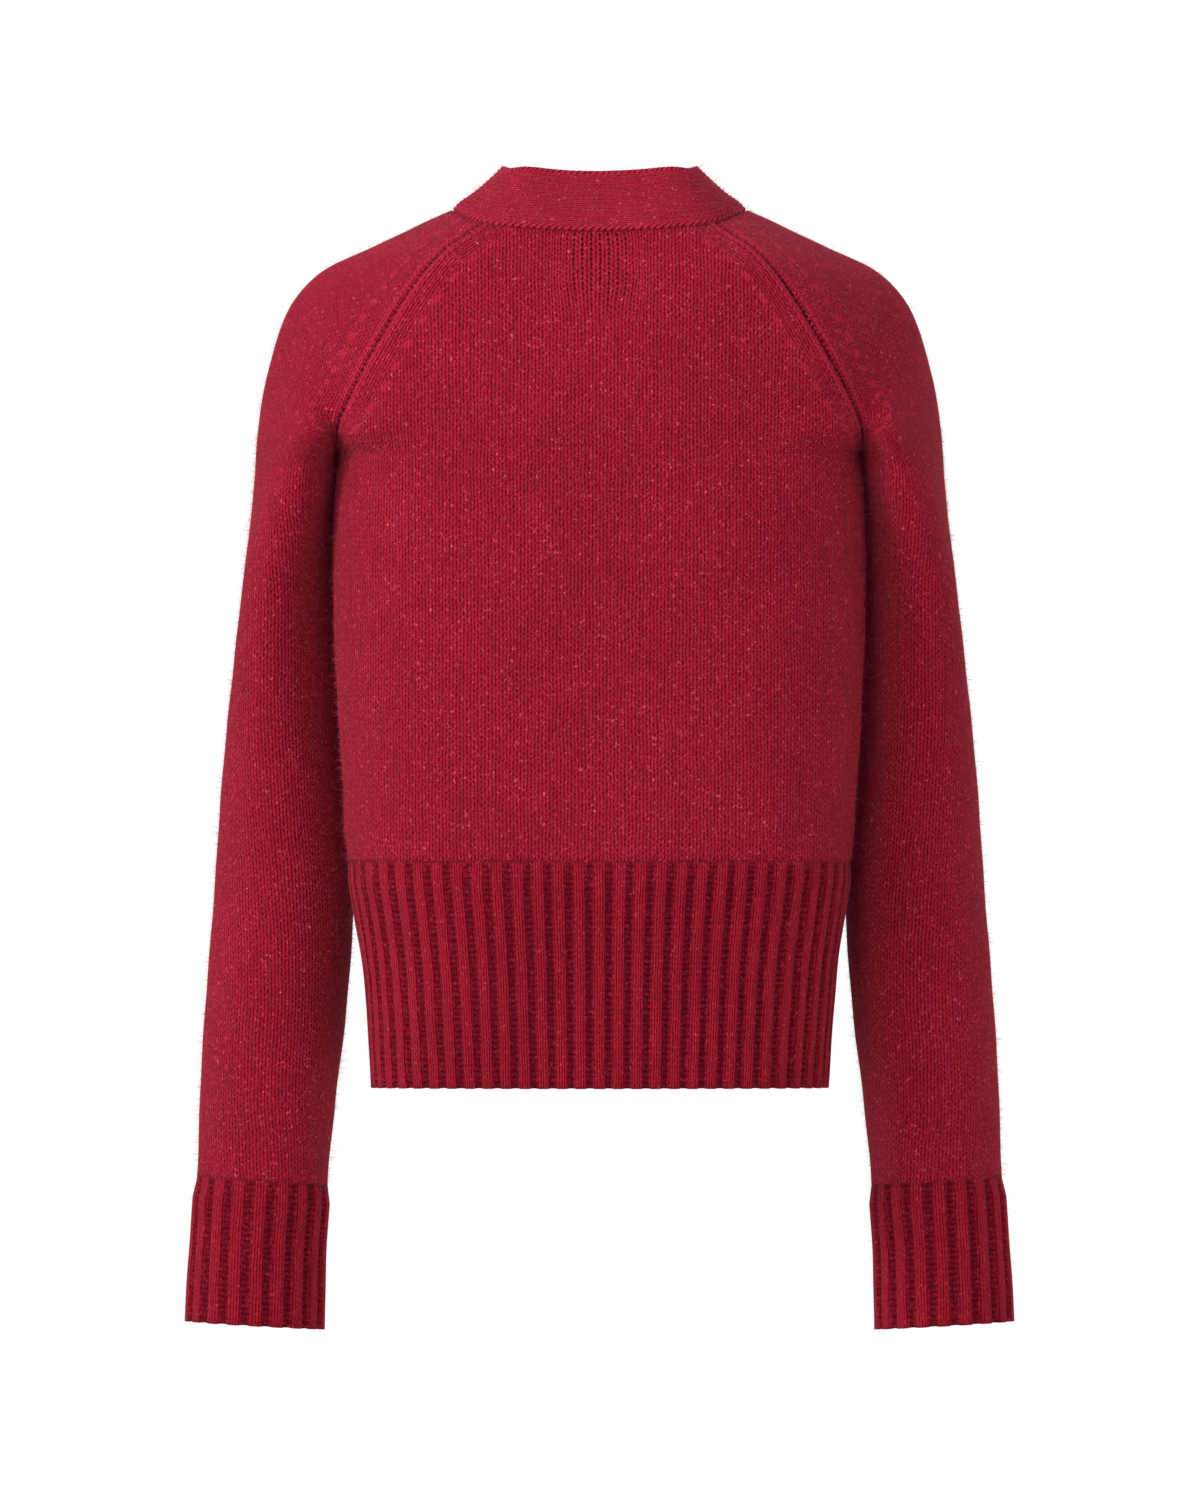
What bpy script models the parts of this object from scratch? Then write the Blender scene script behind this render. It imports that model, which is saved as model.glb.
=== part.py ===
"""Cropped raglan cardigan with a V neck, hollow as worn.

Metres, +Z up, front towards -Y, wearer's left towards +X. The origin is at the
base of the neck, on the line of the shoulders. Heights in the tables are drops
below the origin.
"""

import math
from collections import namedtuple

import bmesh
import bpy
import numpy as np
from mathutils import Vector

# Cloth
KNIT_THICKNESS = 0.0024
RIB_THICKNESS = 0.0020
RIB_RAISE = 0.0018
BAND_WIDTH = 0.042
BAND_THICKNESS = 0.0036
SEAM_GAP = 0.0003

# Lengths down the garment
BODY_DROP = 0.382
HEM_DROP = 0.517
SLEEVE_DROP = 0.574
CUFF_DROP = 0.661
V_DROP = 0.175

# Ribs: where each one's section turns, as a share of its pitch, and its rise there
RibCorner = namedtuple("RibCorner", "share rise")
RIB_SECTION = (
    RibCorner(0.12, 0.0),
    RibCorner(0.27, 1.0),
    RibCorner(0.73, 1.0),
    RibCorner(0.88, 0.0),
)
BACK_RIBS = 31
FRONT_RIBS = 16
CUFF_RIBS = 18

# Grid sizes of the plain cloth
YOKE_ROWS = 9
BACK_COLUMNS = 24
FRONT_COLUMNS = 8
SLEEVE_COLUMNS = 20
FINE = 160

# Heights of the rows, from the bottom up
BODY_DROPS = (BODY_DROP, 0.335, 0.285, 0.240, 0.200, 0.165)
ARM_DROPS = (SLEEVE_DROP, 0.550, 0.500, 0.450, 0.400, 0.350, 0.300, 0.250, 0.210, 0.180, 0.158)
HEM_DROPS = (HEM_DROP, 0.445, 0.392, BODY_DROP)
CUFF_DROPS = (CUFF_DROP, 0.620, 0.584, SLEEVE_DROP)

# Front closing: the right band lies over the left one
BAND_HALF = BAND_WIDTH / 2
LAP_SHIFT = 0.0022
LAP_FROM = 0.075
LAP_FULL = 0.118
LAP_NARROW = 0.045
LAP_WIDE = 0.100
BUTTONS = 6
TOP_BUTTON_DROP = 0.190
BOTTOM_BUTTON_DROP = 0.500
BUTTON_RADIUS = 0.0085
BUTTON_THICKNESS = 0.0034
BUTTON_RIM = 0.0018
BUTTON_DISH = 0.0010
BUTTON_SEAT = 0.0005
BUTTON_STEPS = 16

# Where the body, its side seam and the sleeve meet
UNDERARM = (0.157, 0.015, -0.137)
SIDE_SEAM_Y = 0.015
CREASE_END = 0.42
CREASE_GAP = 0.0010
SHARE_STEP = 0.04
BODY_RISE = 0.08
ARM_RISE = 0.19

Girth = namedtuple("Girth", "drop half_width back front")
TORSO = (
    Girth(0.137, 0.1570, 0.103, -0.112),
    Girth(0.180, 0.1595, 0.104, -0.119),
    Girth(0.225, 0.1590, 0.102, -0.121),
    Girth(0.285, 0.1570, 0.099, -0.118),
    Girth(0.335, 0.1540, 0.096, -0.113),
    Girth(0.382, 0.1505, 0.094, -0.108),
    Girth(0.410, 0.1460, 0.092, -0.105),
    Girth(0.441, 0.1410, 0.090, -0.102),
    Girth(0.465, 0.1385, 0.089, -0.100),
    Girth(0.517, 0.1350, 0.087, -0.098),
)

# Guide lines over the yoke. Share 0 is the underarm and share 1 the neck.
Guide = namedtuple("Guide", "share x y z")
BACK_RAGLAN = (
    Guide(0.00, *UNDERARM),
    Guide(0.15, 0.1570, 0.0510, -0.1270),
    Guide(0.30, 0.1515, 0.0650, -0.1080),
    Guide(0.50, 0.1360, 0.0730, -0.0770),
    Guide(0.75, 0.1060, 0.0710, -0.0310),
    Guide(1.00, 0.0700, 0.0510, 0.0005),
)
FRONT_RAGLAN = (
    Guide(0.00, *UNDERARM),
    Guide(0.15, 0.1555, -0.0390, -0.1290),
    Guide(0.30, 0.1490, -0.0550, -0.1120),
    Guide(0.50, 0.1340, -0.0650, -0.0850),
    Guide(0.75, 0.1080, -0.0640, -0.0470),
    Guide(1.00, 0.0810, -0.0420, -0.0130),
)
SHOULDER_LINE = (
    Guide(0.00, 0.2065, -0.012, -0.1500),
    Guide(0.15, 0.2045, -0.010, -0.1220),
    Guide(0.30, 0.1985, -0.008, -0.0870),
    Guide(0.42, 0.1905, -0.006, -0.0600),
    Guide(0.50, 0.1835, -0.004, -0.0455),
    Guide(0.60, 0.1690, -0.002, -0.0300),
    Guide(0.75, 0.1340, 0.000, -0.0120),
    Guide(1.00, 0.0890, 0.000, 0.0070),
)
CENTRE_BACK = (
    Guide(0.00, 0.0, 0.1030, -0.1370),
    Guide(0.25, 0.0, 0.1015, -0.1130),
    Guide(0.50, 0.0, 0.0940, -0.0770),
    Guide(0.75, 0.0, 0.0810, -0.0370),
    Guide(1.00, 0.0, 0.0620, -0.0036),
)
CENTRE_FRONT = (
    Guide(0.00, 0.0, -0.1120, -0.1370),
    Guide(0.25, 0.0, -0.1060, -0.1150),
    Guide(0.50, 0.0, -0.0960, -0.0850),
    Guide(0.75, 0.0, -0.0820, -0.0500),
    Guide(1.00, 0.0, -0.0640, -0.0200),
)

# The V: how far each front's edge lies from the centre
NeckEdge = namedtuple("NeckEdge", "drop half_width")
NECK_EDGE = (
    NeckEdge(0.014, 0.0785),
    NeckEdge(0.050, 0.0665),
    NeckEdge(0.090, 0.0530),
    NeckEdge(0.137, 0.0345),
    NeckEdge(0.165, 0.0235),
    NeckEdge(V_DROP, BAND_HALF),
    NeckEdge(HEM_DROP, BAND_HALF),
)

# Sleeve sections: reach is their outermost x, cant the rise of the ring as it goes out
ArmRing = namedtuple("ArmRing", "drop reach half_width half_depth turn y cant")
ARM = (
    ArmRing(0.145, 0.2065, 0.0235, 0.066, 6.0, -0.007, -0.20),
    ArmRing(0.180, 0.2112, 0.0245, 0.064, 10.0, -0.014, -0.12),
    ArmRing(0.225, 0.2160, 0.0280, 0.060, 15.0, -0.024, -0.04),
    ArmRing(0.285, 0.2223, 0.0335, 0.055, 16.0, -0.036, 0.02),
    ArmRing(0.345, 0.2280, 0.0385, 0.051, 12.0, -0.040, 0.04),
    ArmRing(0.405, 0.2325, 0.0420, 0.048, 5.0, -0.042, 0.05),
    ArmRing(0.465, 0.2367, 0.0425, 0.046, 0.0, -0.044, 0.06),
    ArmRing(0.525, 0.2406, 0.0410, 0.043, 0.0, -0.047, 0.06),
    ArmRing(0.574, 0.2427, 0.0395, 0.037, 0.0, -0.050, 0.06),
    ArmRing(0.610, 0.2448, 0.0395, 0.034, 0.0, -0.052, 0.06),
    ArmRing(0.661, 0.2475, 0.0405, 0.034, 0.0, -0.055, 0.06),
)
ARM_BLEND = 0.090

# Bezier handles of the sleeve's lowest yoke ring, where it folds back on the body
UNDERARM_BACK_HANDLES = (0.070, 0.088)
UNDERARM_FRONT_HANDLES = (0.094, 0.098)

# Fullness of the arcs: the back is flatter than the front, and the yoke rounder than both
ROUND = 0.56
BACK_FLAT = 0.69
FRONT_FLAT = 0.60

# Soft creases in the cloth beside the underarm, pressed in from the side they lie on, and
# mirrored to the other half
Crease = namedtuple("Crease", "x1 y1 z1 x2 y2 z2 depth width")
CREASES = (
    Crease(0.180, 0.050, -0.104, 0.164, 0.054, -0.160, 0.0026, 0.012),
    Crease(0.178, -0.064, -0.106, 0.164, -0.068, -0.160, 0.0024, 0.012),
)

# How far the band stands up from the cloth's own slope, by distance from the centre back
Stand = namedtuple("Stand", "distance degrees")
BAND_STAND = (
    Stand(0.000, -4.0),
    Stand(0.030, 0.0),
    Stand(0.060, 14.0),
    Stand(0.085, 20.0),
    Stand(0.115, 23.0),
    Stand(0.170, 13.0),
    Stand(0.240, 3.0),
    Stand(0.340, 0.0),
    Stand(0.800, 0.0),
)
BAND_SMOOTHING = 8
BAND_GAP = 0.0006

# The band's section, round from its sewn edge: share of its width, and rise over the cloth
BAND_RISE = 0.0009
BAND_EDGE = 0.0006
BandCorner = namedtuple("BandCorner", "share rise")
BAND_SECTION = (
    BandCorner(0.00, BAND_RISE - BAND_EDGE),
    BandCorner(0.04, BAND_RISE),
    BandCorner(0.96, BAND_RISE),
    BandCorner(1.00, BAND_RISE - BAND_EDGE),
    BandCorner(1.00, BAND_RISE - BAND_THICKNESS + BAND_EDGE),
    BandCorner(0.96, BAND_RISE - BAND_THICKNESS),
    BandCorner(0.04, BAND_RISE - BAND_THICKNESS),
    BandCorner(0.00, BAND_RISE - BAND_THICKNESS + BAND_EDGE),
)

KNIT_RED = (0.235, 0.010, 0.022, 1.0)
RIB_RED = (0.190, 0.008, 0.016, 1.0)
BAND_RED = (0.270, 0.013, 0.028, 1.0)
BUTTON_RED = (0.150, 0.008, 0.014, 1.0)


def follow(table, at):
    """The table's other columns where its first one is `at`, on a smooth curve through its rows."""
    rows = np.array(table, dtype=float)
    keys = rows[:, 0]
    values = rows[:, 1:]
    slopes = np.gradient(values, keys, axis=0)
    secants = np.diff(values, axis=0) / np.diff(keys)[:, None]
    limits = 3 * np.minimum(abs(secants[:-1]), abs(secants[1:])) * (secants[:-1] * secants[1:] > 0)
    slopes[1:-1] = np.clip(slopes[1:-1], -limits, limits)
    index = int(np.clip(np.searchsorted(keys, at) - 1, 0, len(keys) - 2))
    span = keys[index + 1] - keys[index]
    u = float(np.clip((at - keys[index]) / span, 0.0, 1.0))
    start = (1 + 2 * u) * (1 - u) ** 2 * values[index]
    end = u * u * (3 - 2 * u) * values[index + 1]
    lean = u * (1 - u) * span * ((1 - u) * slopes[index] - u * slopes[index + 1])
    return start + end + lean


def ease(low, high, value):
    """0 below low, 1 above high and a soft step between them."""
    u = min(max((value - low) / (high - low), 0.0), 1.0)
    return u * u * (3 - 2 * u)


def unit(vectors):
    vectors = np.asarray(vectors, dtype=float)
    return vectors / np.maximum(np.linalg.norm(vectors, axis=-1, keepdims=True), 1e-12)


def bezier(start, start_handle, end_handle, end, count):
    u = np.linspace(0.0, 1.0, count + 1)[:, None]
    a = (1 - u) ** 3 * start
    b = 3 * u * (1 - u) ** 2 * (start + start_handle)
    c = 3 * u * u * (1 - u) * (end + end_handle)
    return a + b + c + u**3 * end


def handle_lengths(start, along_start, end, along_end, fullness):
    """Handles that bend a Bezier like a quarter of an ellipse between two directions."""
    chord = end - start
    basis = np.stack([along_start, along_end], axis=1)
    lengths = np.linalg.lstsq(basis, chord, rcond=0.05)[0]
    size = np.linalg.norm(chord)
    return fullness * np.clip(lengths, 0.30 * size, 1.05 * size)


def round_arc(start, along_start, end, along_end, fullness, count):
    first, last = handle_lengths(start, along_start, end, along_end, fullness)
    return bezier(start, first * along_start, -last * along_end, end, count)


def at_shares(points, shares):
    """Points of the same line at shares of its length."""
    steps = np.linalg.norm(np.diff(points, axis=0), axis=1)
    along = np.concatenate([[0.0], np.cumsum(steps)])
    wanted = np.asarray(shares) * along[-1]
    return np.stack([np.interp(wanted, along, points[:, k]) for k in range(3)], axis=1)


def even(count):
    return np.linspace(0.0, 1.0, count + 1)


def mirrored(points):
    return np.asarray(points) * (-1.0, 1.0, 1.0)


# The cloth's middle surface, row by row ------------------------------------------------


def seam_direction(share, raglan, centre):
    """Direction across a raglan seam, from the body to the sleeve, where the yoke is smooth."""
    seam = follow(raglan, share)
    body = seam - follow(centre, share)
    arm = follow(SHOULDER_LINE, share) - seam
    body_length = np.linalg.norm(body)
    arm_length = np.linalg.norm(arm)
    return unit(unit(body) * arm_length + unit(arm) * body_length)


def body_ring_arc(drop, back, count):
    """Half a row of the body below the underarm, from its centre line out to the side seam."""
    girth = Girth(drop, *follow(TORSO, drop))
    depth = girth.back if back else girth.front
    middle = np.array([0.0, depth, -drop])
    side = np.array([girth.half_width, SIDE_SEAM_Y, -drop])
    around = np.array([0.0, -math.copysign(1.0, depth), 0.0])
    flat = BACK_FLAT if back else FRONT_FLAT
    arc = round_arc(middle, np.array([1.0, 0.0, 0.0]), side, around, flat, FINE)
    return at_shares(arc, even(count))


def smooth_body_arc(share, back, count):
    """Half a row of the body where the yoke runs smoothly into the sleeve."""
    raglan, centre = (BACK_RAGLAN, CENTRE_BACK) if back else (FRONT_RAGLAN, CENTRE_FRONT)
    seam = follow(raglan, share)
    middle = follow(centre, share)
    across = seam_direction(share, raglan, centre)
    arc = round_arc(middle, np.array([1.0, 0.0, 0.0]), seam, across, ROUND, FINE)
    return at_shares(arc, even(count))


def between(low, below, high, above, share):
    """A row between the underarm row and the one where the crease ends, from the rows around both.

    `below` lies one step down from `low`, and `above` one step up from `high`.
    """
    u = share / CREASE_END
    low_slope = (low - below) * CREASE_END / SHARE_STEP
    high_slope = (above - high) * CREASE_END / SHARE_STEP
    row = (1 + 2 * u) * (1 - u) ** 2 * low + u * u * (3 - 2 * u) * high
    return row + u * (1 - u) * ((1 - u) * low_slope - u * high_slope)


def drawn_to(row, index, place, reach):
    """The row moved so that one of its points is at `place`, fading out over `reach` points."""
    away = np.abs(np.arange(len(row)) - index) / reach
    weight = np.clip(1.0 - away, 0.0, 1.0)[:, None]
    return row + weight * weight * (3 - 2 * weight) * (place - row[index])


def body_yoke_arc(share, back, count):
    """Half a row of the body above the underarm, from its centre line out to a raglan seam."""
    if share >= CREASE_END:
        return smooth_body_arc(share, back, count)
    underarm = TORSO[0].drop
    row = between(
        body_ring_arc(underarm, back, count),
        body_ring_arc(underarm + BODY_RISE * SHARE_STEP, back, count),
        smooth_body_arc(CREASE_END, back, count),
        smooth_body_arc(CREASE_END + SHARE_STEP, back, count),
        share,
    )
    raglan, centre = (BACK_RAGLAN, CENTRE_BACK) if back else (FRONT_RAGLAN, CENTRE_FRONT)
    row = drawn_to(row, 0, follow(centre, share), count)
    return drawn_to(row, count, follow(raglan, share), count / 2)


def over_shoulder(seam, out, top, side, lengths, count):
    """Half a sleeve row, from a raglan seam to the line over the shoulder."""
    over = side * np.array([0.0, -1.0, 0.0])
    arc = bezier(seam, lengths[0] * out, -lengths[1] * over, top, FINE)
    return at_shares(arc, even(count // 2))


def smooth_sleeve_row(share, count):
    """A row of the sleeve's cap where it runs smoothly into the body, back seam to front seam."""
    top = follow(SHOULDER_LINE, share)
    halves = []
    for raglan, centre, side in ((BACK_RAGLAN, CENTRE_BACK, 1.0), (FRONT_RAGLAN, CENTRE_FRONT, -1.0)):
        seam = follow(raglan, share)
        out = seam_direction(share, raglan, centre)
        over = side * np.array([0.0, -1.0, 0.0])
        lengths = handle_lengths(seam, out, top, over, ROUND)
        halves.append(over_shoulder(seam, out, top, side, lengths, count))
    return np.concatenate([halves[0], halves[1][-2::-1]])


def underarm_row(count):
    """The sleeve's row through the underarm, where it folds right back on the body."""
    seam = np.array(UNDERARM)
    top = follow(SHOULDER_LINE, 0.0)
    back = np.array([0.0, 1.0, 0.0])
    first = over_shoulder(seam, back, top, 1.0, UNDERARM_BACK_HANDLES, count)
    last = over_shoulder(seam, -back, top, -1.0, UNDERARM_FRONT_HANDLES, count)
    return np.concatenate([first, last[-2::-1]])


def arm_ring(drop, count):
    """A closed row of the sleeve, which starts and ends on the side that faces the body."""
    ring = ArmRing(drop, *follow(ARM, drop))
    turn = math.radians(ring.turn)
    reach = math.hypot(ring.half_width * math.cos(turn), ring.half_depth * math.sin(turn))
    angle = np.linspace(0.0, 2 * math.pi, 2 * FINE + 1)
    out = -ring.half_width * np.cos(angle)
    back = ring.half_depth * np.sin(angle)
    x = out * math.cos(turn) + back * math.sin(turn)
    y = ring.y - out * math.sin(turn) + back * math.cos(turn)
    whole = np.stack([ring.reach - reach + x, y, ring.cant * x - drop], axis=1)
    first = at_shares(whole[: FINE + 1], even(count // 2))
    last = at_shares(whole[FINE:], even(count // 2))
    return np.concatenate([first, last[1:]])


def sleeve_ring(drop, count):
    """An arm ring that takes on the form of the underarm row as it nears it."""
    top_drop = ARM[0].drop
    share = 1.0 - ease(0.0, ARM_BLEND, drop - top_drop)
    return arm_ring(drop, count) + share * (underarm_row(count) - arm_ring(top_drop, count))


def sleeve_yoke_row(share, count):
    """A row of the sleeve above the underarm, from the back seam over the shoulder to the front."""
    if share >= CREASE_END:
        return smooth_sleeve_row(share, count)
    row = between(
        underarm_row(count),
        sleeve_ring(ARM[0].drop + ARM_RISE * SHARE_STEP, count),
        smooth_sleeve_row(CREASE_END, count),
        smooth_sleeve_row(CREASE_END + SHARE_STEP, count),
        share,
    )
    row = drawn_to(row, count // 2, follow(SHOULDER_LINE, share), count / 2)
    row = drawn_to(row, 0, follow(BACK_RAGLAN, share), count / 3)
    return drawn_to(row, count, follow(FRONT_RAGLAN, share), count / 3)


def creased(points):
    """The cloth pressed in, forwards or backwards, along each crease."""
    points = points.copy()
    leftward = np.abs(points) * (1, 0, 0) + points * (0, 1, 1)
    for crease in CREASES:
        start = np.array([crease.x1, crease.y1, crease.z1])
        line = np.array([crease.x2, crease.y2, crease.z2]) - start
        along = np.clip((leftward - start) @ line / (line @ line), 0.0, 1.0)
        away = np.linalg.norm(leftward - start - along[..., None] * line, axis=-1)
        taper = np.sin(math.pi * (0.15 + 0.70 * along))
        depth = crease.depth * taper * np.exp(-((away / crease.width) ** 2))
        points[..., 1] -= math.copysign(1.0, crease.y1) * depth
    return points


def lapped(points, side):
    """The fronts part in depth at the closing: the right one outwards and the left one inwards."""
    points = points.copy()
    for point in points.reshape(-1, 3):
        down = ease(LAP_FROM, LAP_FULL, -point[2])
        near = 1.0 - ease(LAP_NARROW, LAP_WIDE, abs(point[0]))
        point[1] += side * LAP_SHIFT * down * near
    return points


def cut_at_edge(arc):
    """The outer stretch of a front row, from its seam in to the edge that the band is sewn to."""
    edges = np.array([follow(NECK_EDGE, -z)[0] for z in arc[:, 2]])
    first = int(np.argmax(arc[:, 0] >= edges))
    gaps = arc[first - 1 : first + 1, 0] - edges[first - 1 : first + 1]
    share = gaps[1] / (gaps[1] - gaps[0])
    edge = arc[first] + share * (arc[first - 1] - arc[first])
    return np.vstack([edge, arc[first:]])[::-1]


# Grids: their rows go up and their columns go clockwise, seen from above -----------------


def turned_over(rows):
    """The same grid on the right-hand side."""
    return mirrored(rows)[:, ::-1]


def back_grid(drops, shares, yoke_rows=()):
    """Rows from the right seam to the left one."""
    arcs = [body_ring_arc(drop, True, FINE) for drop in drops]
    arcs += [body_yoke_arc(share, True, FINE) for share in yoke_rows]
    whole = [np.concatenate([mirrored(arc)[::-1], arc[1:]]) for arc in arcs]
    return np.array([at_shares(row, shares) for row in whole])


def front_grid(drops, shares, side, yoke_rows=()):
    """Rows of the left front, from its seam to its band. The right one is turned over later."""
    arcs = [body_ring_arc(drop, False, FINE) for drop in drops]
    arcs += [body_yoke_arc(share, False, FINE) for share in yoke_rows]
    return lapped(np.array([at_shares(cut_at_edge(arc), shares) for arc in arcs]), side)


def sleeve_grid():
    """Closed rings up to the underarm, then arcs that stand a little off the body's fold."""
    rows = [sleeve_ring(drop, SLEEVE_COLUMNS) for drop in ARM_DROPS]
    for share in even(YOKE_ROWS):
        off = CREASE_GAP * (1.0 - ease(CREASE_END / 2, 3 * CREASE_END / 2, share))
        rows.append(sleeve_yoke_row(share, SLEEVE_COLUMNS) + np.array([off, 0.0, 0.0]))
    return np.array(rows)


def rib_shares(count):
    shares = [(rib + corner.share) / count for rib in range(count) for corner in RIB_SECTION]
    return np.array([0.0, *shares, 1.0])


def rib_rises(count):
    return np.array([0.0, *([corner.rise for corner in RIB_SECTION] * count), 0.0])


# Walls ---------------------------------------------------------------------------------


def grid_normals(rows, closed=False):
    """Outward directions at the points of a grid."""
    up = np.gradient(rows, axis=0)
    if closed:
        around = np.roll(rows[:, :-1], -1, axis=1) - np.roll(rows[:, :-1], 1, axis=1)
        around = np.concatenate([around, around[:, :1]], axis=1)
    else:
        around = np.gradient(rows, axis=1)
    return unit(np.cross(up, around))


def sleeve_normals(rows):
    """Closed rings below the underarm and open arcs above it."""
    rings = len(ARM_DROPS)
    normals = grid_normals(rows)
    normals[:rings] = grid_normals(rows[: rings + 1], closed=True)[:rings]
    return normals


def share_normals(*seams):
    """Gives both sides of a seam the direction halfway between their own."""
    middle = unit(sum(seams))
    for seam in seams:
        seam[...] = middle


def fold_normals(*seams):
    """Points a raglan seam's lower end down, where the sleeve folds back on the body."""
    for index, share in enumerate(even(YOKE_ROWS)):
        smooth = ease(0.0, CREASE_END, share)
        for seam in seams:
            seam[index] = unit(smooth * seam[index] + (1 - smooth) * np.array([0, 0, -1.0]))


def rim_pulled(rows, rings, bottom=True):
    """The grid with half a seam gap taken off its sewn edges. Its lowest `rings` rows are closed."""
    pulled = rows.copy()
    half = SEAM_GAP / 2
    pulled[rings:, 0] += half * unit(rows[rings:, 1] - rows[rings:, 0])
    pulled[rings:, -1] += half * unit(rows[rings:, -2] - rows[rings:, -1])
    pulled[-1] += half * unit(rows[-2] - rows[-1])
    if bottom:
        pulled[0] += half * unit(rows[1] - rows[0])
    return pulled


def wall_object(name, outer, inner, material, rings=0):
    """A closed wall between two grids. The lowest `rings` rows of a sleeve close on themselves."""
    count_rows, count_columns = outer.shape[:2]

    def corner(row, column):
        if row < rings and column == count_columns - 1:
            column = 0
        return row * count_columns + column

    places = outer.reshape(-1, 3)
    faces = []
    for row in range(count_rows - 1):
        for column in range(count_columns - 1):
            a, b = corner(row, column), corner(row, column + 1)
            c, d = corner(row + 1, column + 1), corner(row + 1, column)
            if np.linalg.norm(places[a] - places[c]) < np.linalg.norm(places[b] - places[d]):
                faces += [(a, b, c), (a, c, d)]
            else:
                faces += [(a, b, d), (b, c, d)]
    directed = {(face[k], face[(k + 1) % 3]) for face in faces for k in range(3)}
    rims = [edge for edge in directed if edge[::-1] not in directed]
    layer = count_rows * count_columns
    mesh = bmesh.new()
    points = [mesh.verts.new(point) for grid in (outer, inner) for point in grid.reshape(-1, 3)]
    for face in faces:
        mesh.faces.new([points[index] for index in face])
        mesh.faces.new([points[index + layer] for index in reversed(face)])
    for start, end in sorted(rims):
        corners = (end, start, start + layer, end + layer)
        mesh.faces.new([points[index] for index in corners])
    loose = [point for point in mesh.verts if not point.link_faces]
    bmesh.ops.delete(mesh, geom=loose, context="VERTS")
    bmesh.ops.recalc_face_normals(mesh, faces=mesh.faces)
    return finished(name, mesh, material)


def finished(name, mesh, material):
    data = bpy.data.meshes.new(name)
    mesh.to_mesh(data)
    mesh.free()
    data.materials.append(material)
    data.shade_smooth()
    data.set_sharp_from_angle(angle=math.radians(50))
    item = bpy.data.objects.new(name, data)
    bpy.data.collections["cardigan"].objects.link(item)
    return item


# Band and buttons ----------------------------------------------------------------------


def sewn_edge(back, sleeve, front, rib):
    """Points, or directions, along the edge that the band is sewn to, centre back to hem."""
    half = back.shape[1] // 2
    pieces = (
        back[-1, half:],
        sleeve[-1, 2:-1:2],
        front[-1:, 0],
        front[::-1, -1],
        rib[-2::-1, -1],
    )
    return np.concatenate(pieces)


def smoothed(directions):
    """Directions along the band with their sudden turns spread out."""
    directions = directions.copy()
    for _ in range(BAND_SMOOTHING):
        directions[1:-1] = (directions[:-2] + 2 * directions[1:-1] + directions[2:]) / 4
    return unit(directions)


def band_half(edge, out):
    """The band's sections along half its length, from the centre back to the hem."""
    steps = np.linalg.norm(np.diff(edge, axis=0), axis=1)
    distances = np.concatenate([[0.0], np.cumsum(steps)])
    ahead = np.gradient(edge, axis=0)
    ahead[0] = (1.0, 0.0, 0.0)
    ahead = smoothed(unit(ahead))
    for place, direction in zip(edge, out):
        direction[0] *= 1.0 - ease(LAP_FROM, LAP_FULL, -place[2])
    out = smoothed(unit(out))
    stand = np.radians([follow(BAND_STAND, distance)[0] for distance in distances])[:, None]
    across = np.cos(stand) * unit(np.cross(ahead, out)) + np.sin(stand) * out
    neck = int(np.argmax(edge[:, 2] < -LAP_FULL))
    free = (edge + BAND_WIDTH * across)[:neck]
    for _ in range(BAND_SMOOTHING):
        free[1:-1] = (free[:-2] + 2 * free[1:-1] + free[2:]) / 4
    across[:neck] = unit(free - edge[:neck])
    outward = unit(np.cross(across, ahead))
    width = [BAND_GAP + corner.share * BAND_WIDTH for corner in BAND_SECTION]
    rise = [corner.rise for corner in BAND_SECTION]
    sections = edge[:, None] + np.array(width)[:, None] * across[:, None]
    return sections + np.array(rise)[:, None] * outward[:, None]


def band_object(left, right, material):
    """One strip from the right front's hem up round the neck and down to the left one's."""
    sections = np.concatenate([mirrored(right)[::-1], left[1:]])
    count = len(BAND_SECTION)
    mesh = bmesh.new()
    rings = [[mesh.verts.new(point) for point in section] for section in sections]
    for ring, following in zip(rings, rings[1:]):
        for index in range(count):
            after = (index + 1) % count
            mesh.faces.new((ring[index], ring[after], following[after], following[index]))
    mesh.faces.new(rings[0])
    mesh.faces.new(rings[-1][::-1])
    bmesh.ops.recalc_face_normals(mesh, faces=mesh.faces)
    return finished("neck_band", mesh, material)


def button_mesh(material):
    """A turned disc with a rim and a shallow dish, its back at z = 0."""
    radius = BUTTON_RADIUS
    edge = BUTTON_THICKNESS / 4
    floor = BUTTON_THICKNESS - BUTTON_DISH
    profile = (
        (0.0, floor),
        (radius - 2 * BUTTON_RIM, floor),
        (radius - BUTTON_RIM, BUTTON_THICKNESS),
        (radius - edge, BUTTON_THICKNESS),
        (radius, BUTTON_THICKNESS - edge),
        (radius, edge),
        (radius - edge, 0.0),
        (0.0, 0.0),
    )
    data = bpy.data.meshes.new("button")
    points = [(x, 0.0, z) for x, z in profile]
    edges = [(index, index + 1) for index in range(len(profile) - 1)]
    data.from_pydata(points, edges, [])
    data.materials.append(material)
    return data


def place_button(name, data, place, outward):
    item = bpy.data.objects.new(name, data)
    item.location = place
    item.rotation_mode = "QUATERNION"
    item.rotation_quaternion = Vector(outward).to_track_quat("Z", "Y")
    turning = item.modifiers.new("turned", "SCREW")
    turning.steps = BUTTON_STEPS
    turning.render_steps = BUTTON_STEPS
    turning.use_merge_vertices = True
    turning.merge_threshold = 0.00001
    bpy.data.collections["cardigan"].objects.link(item)


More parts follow.
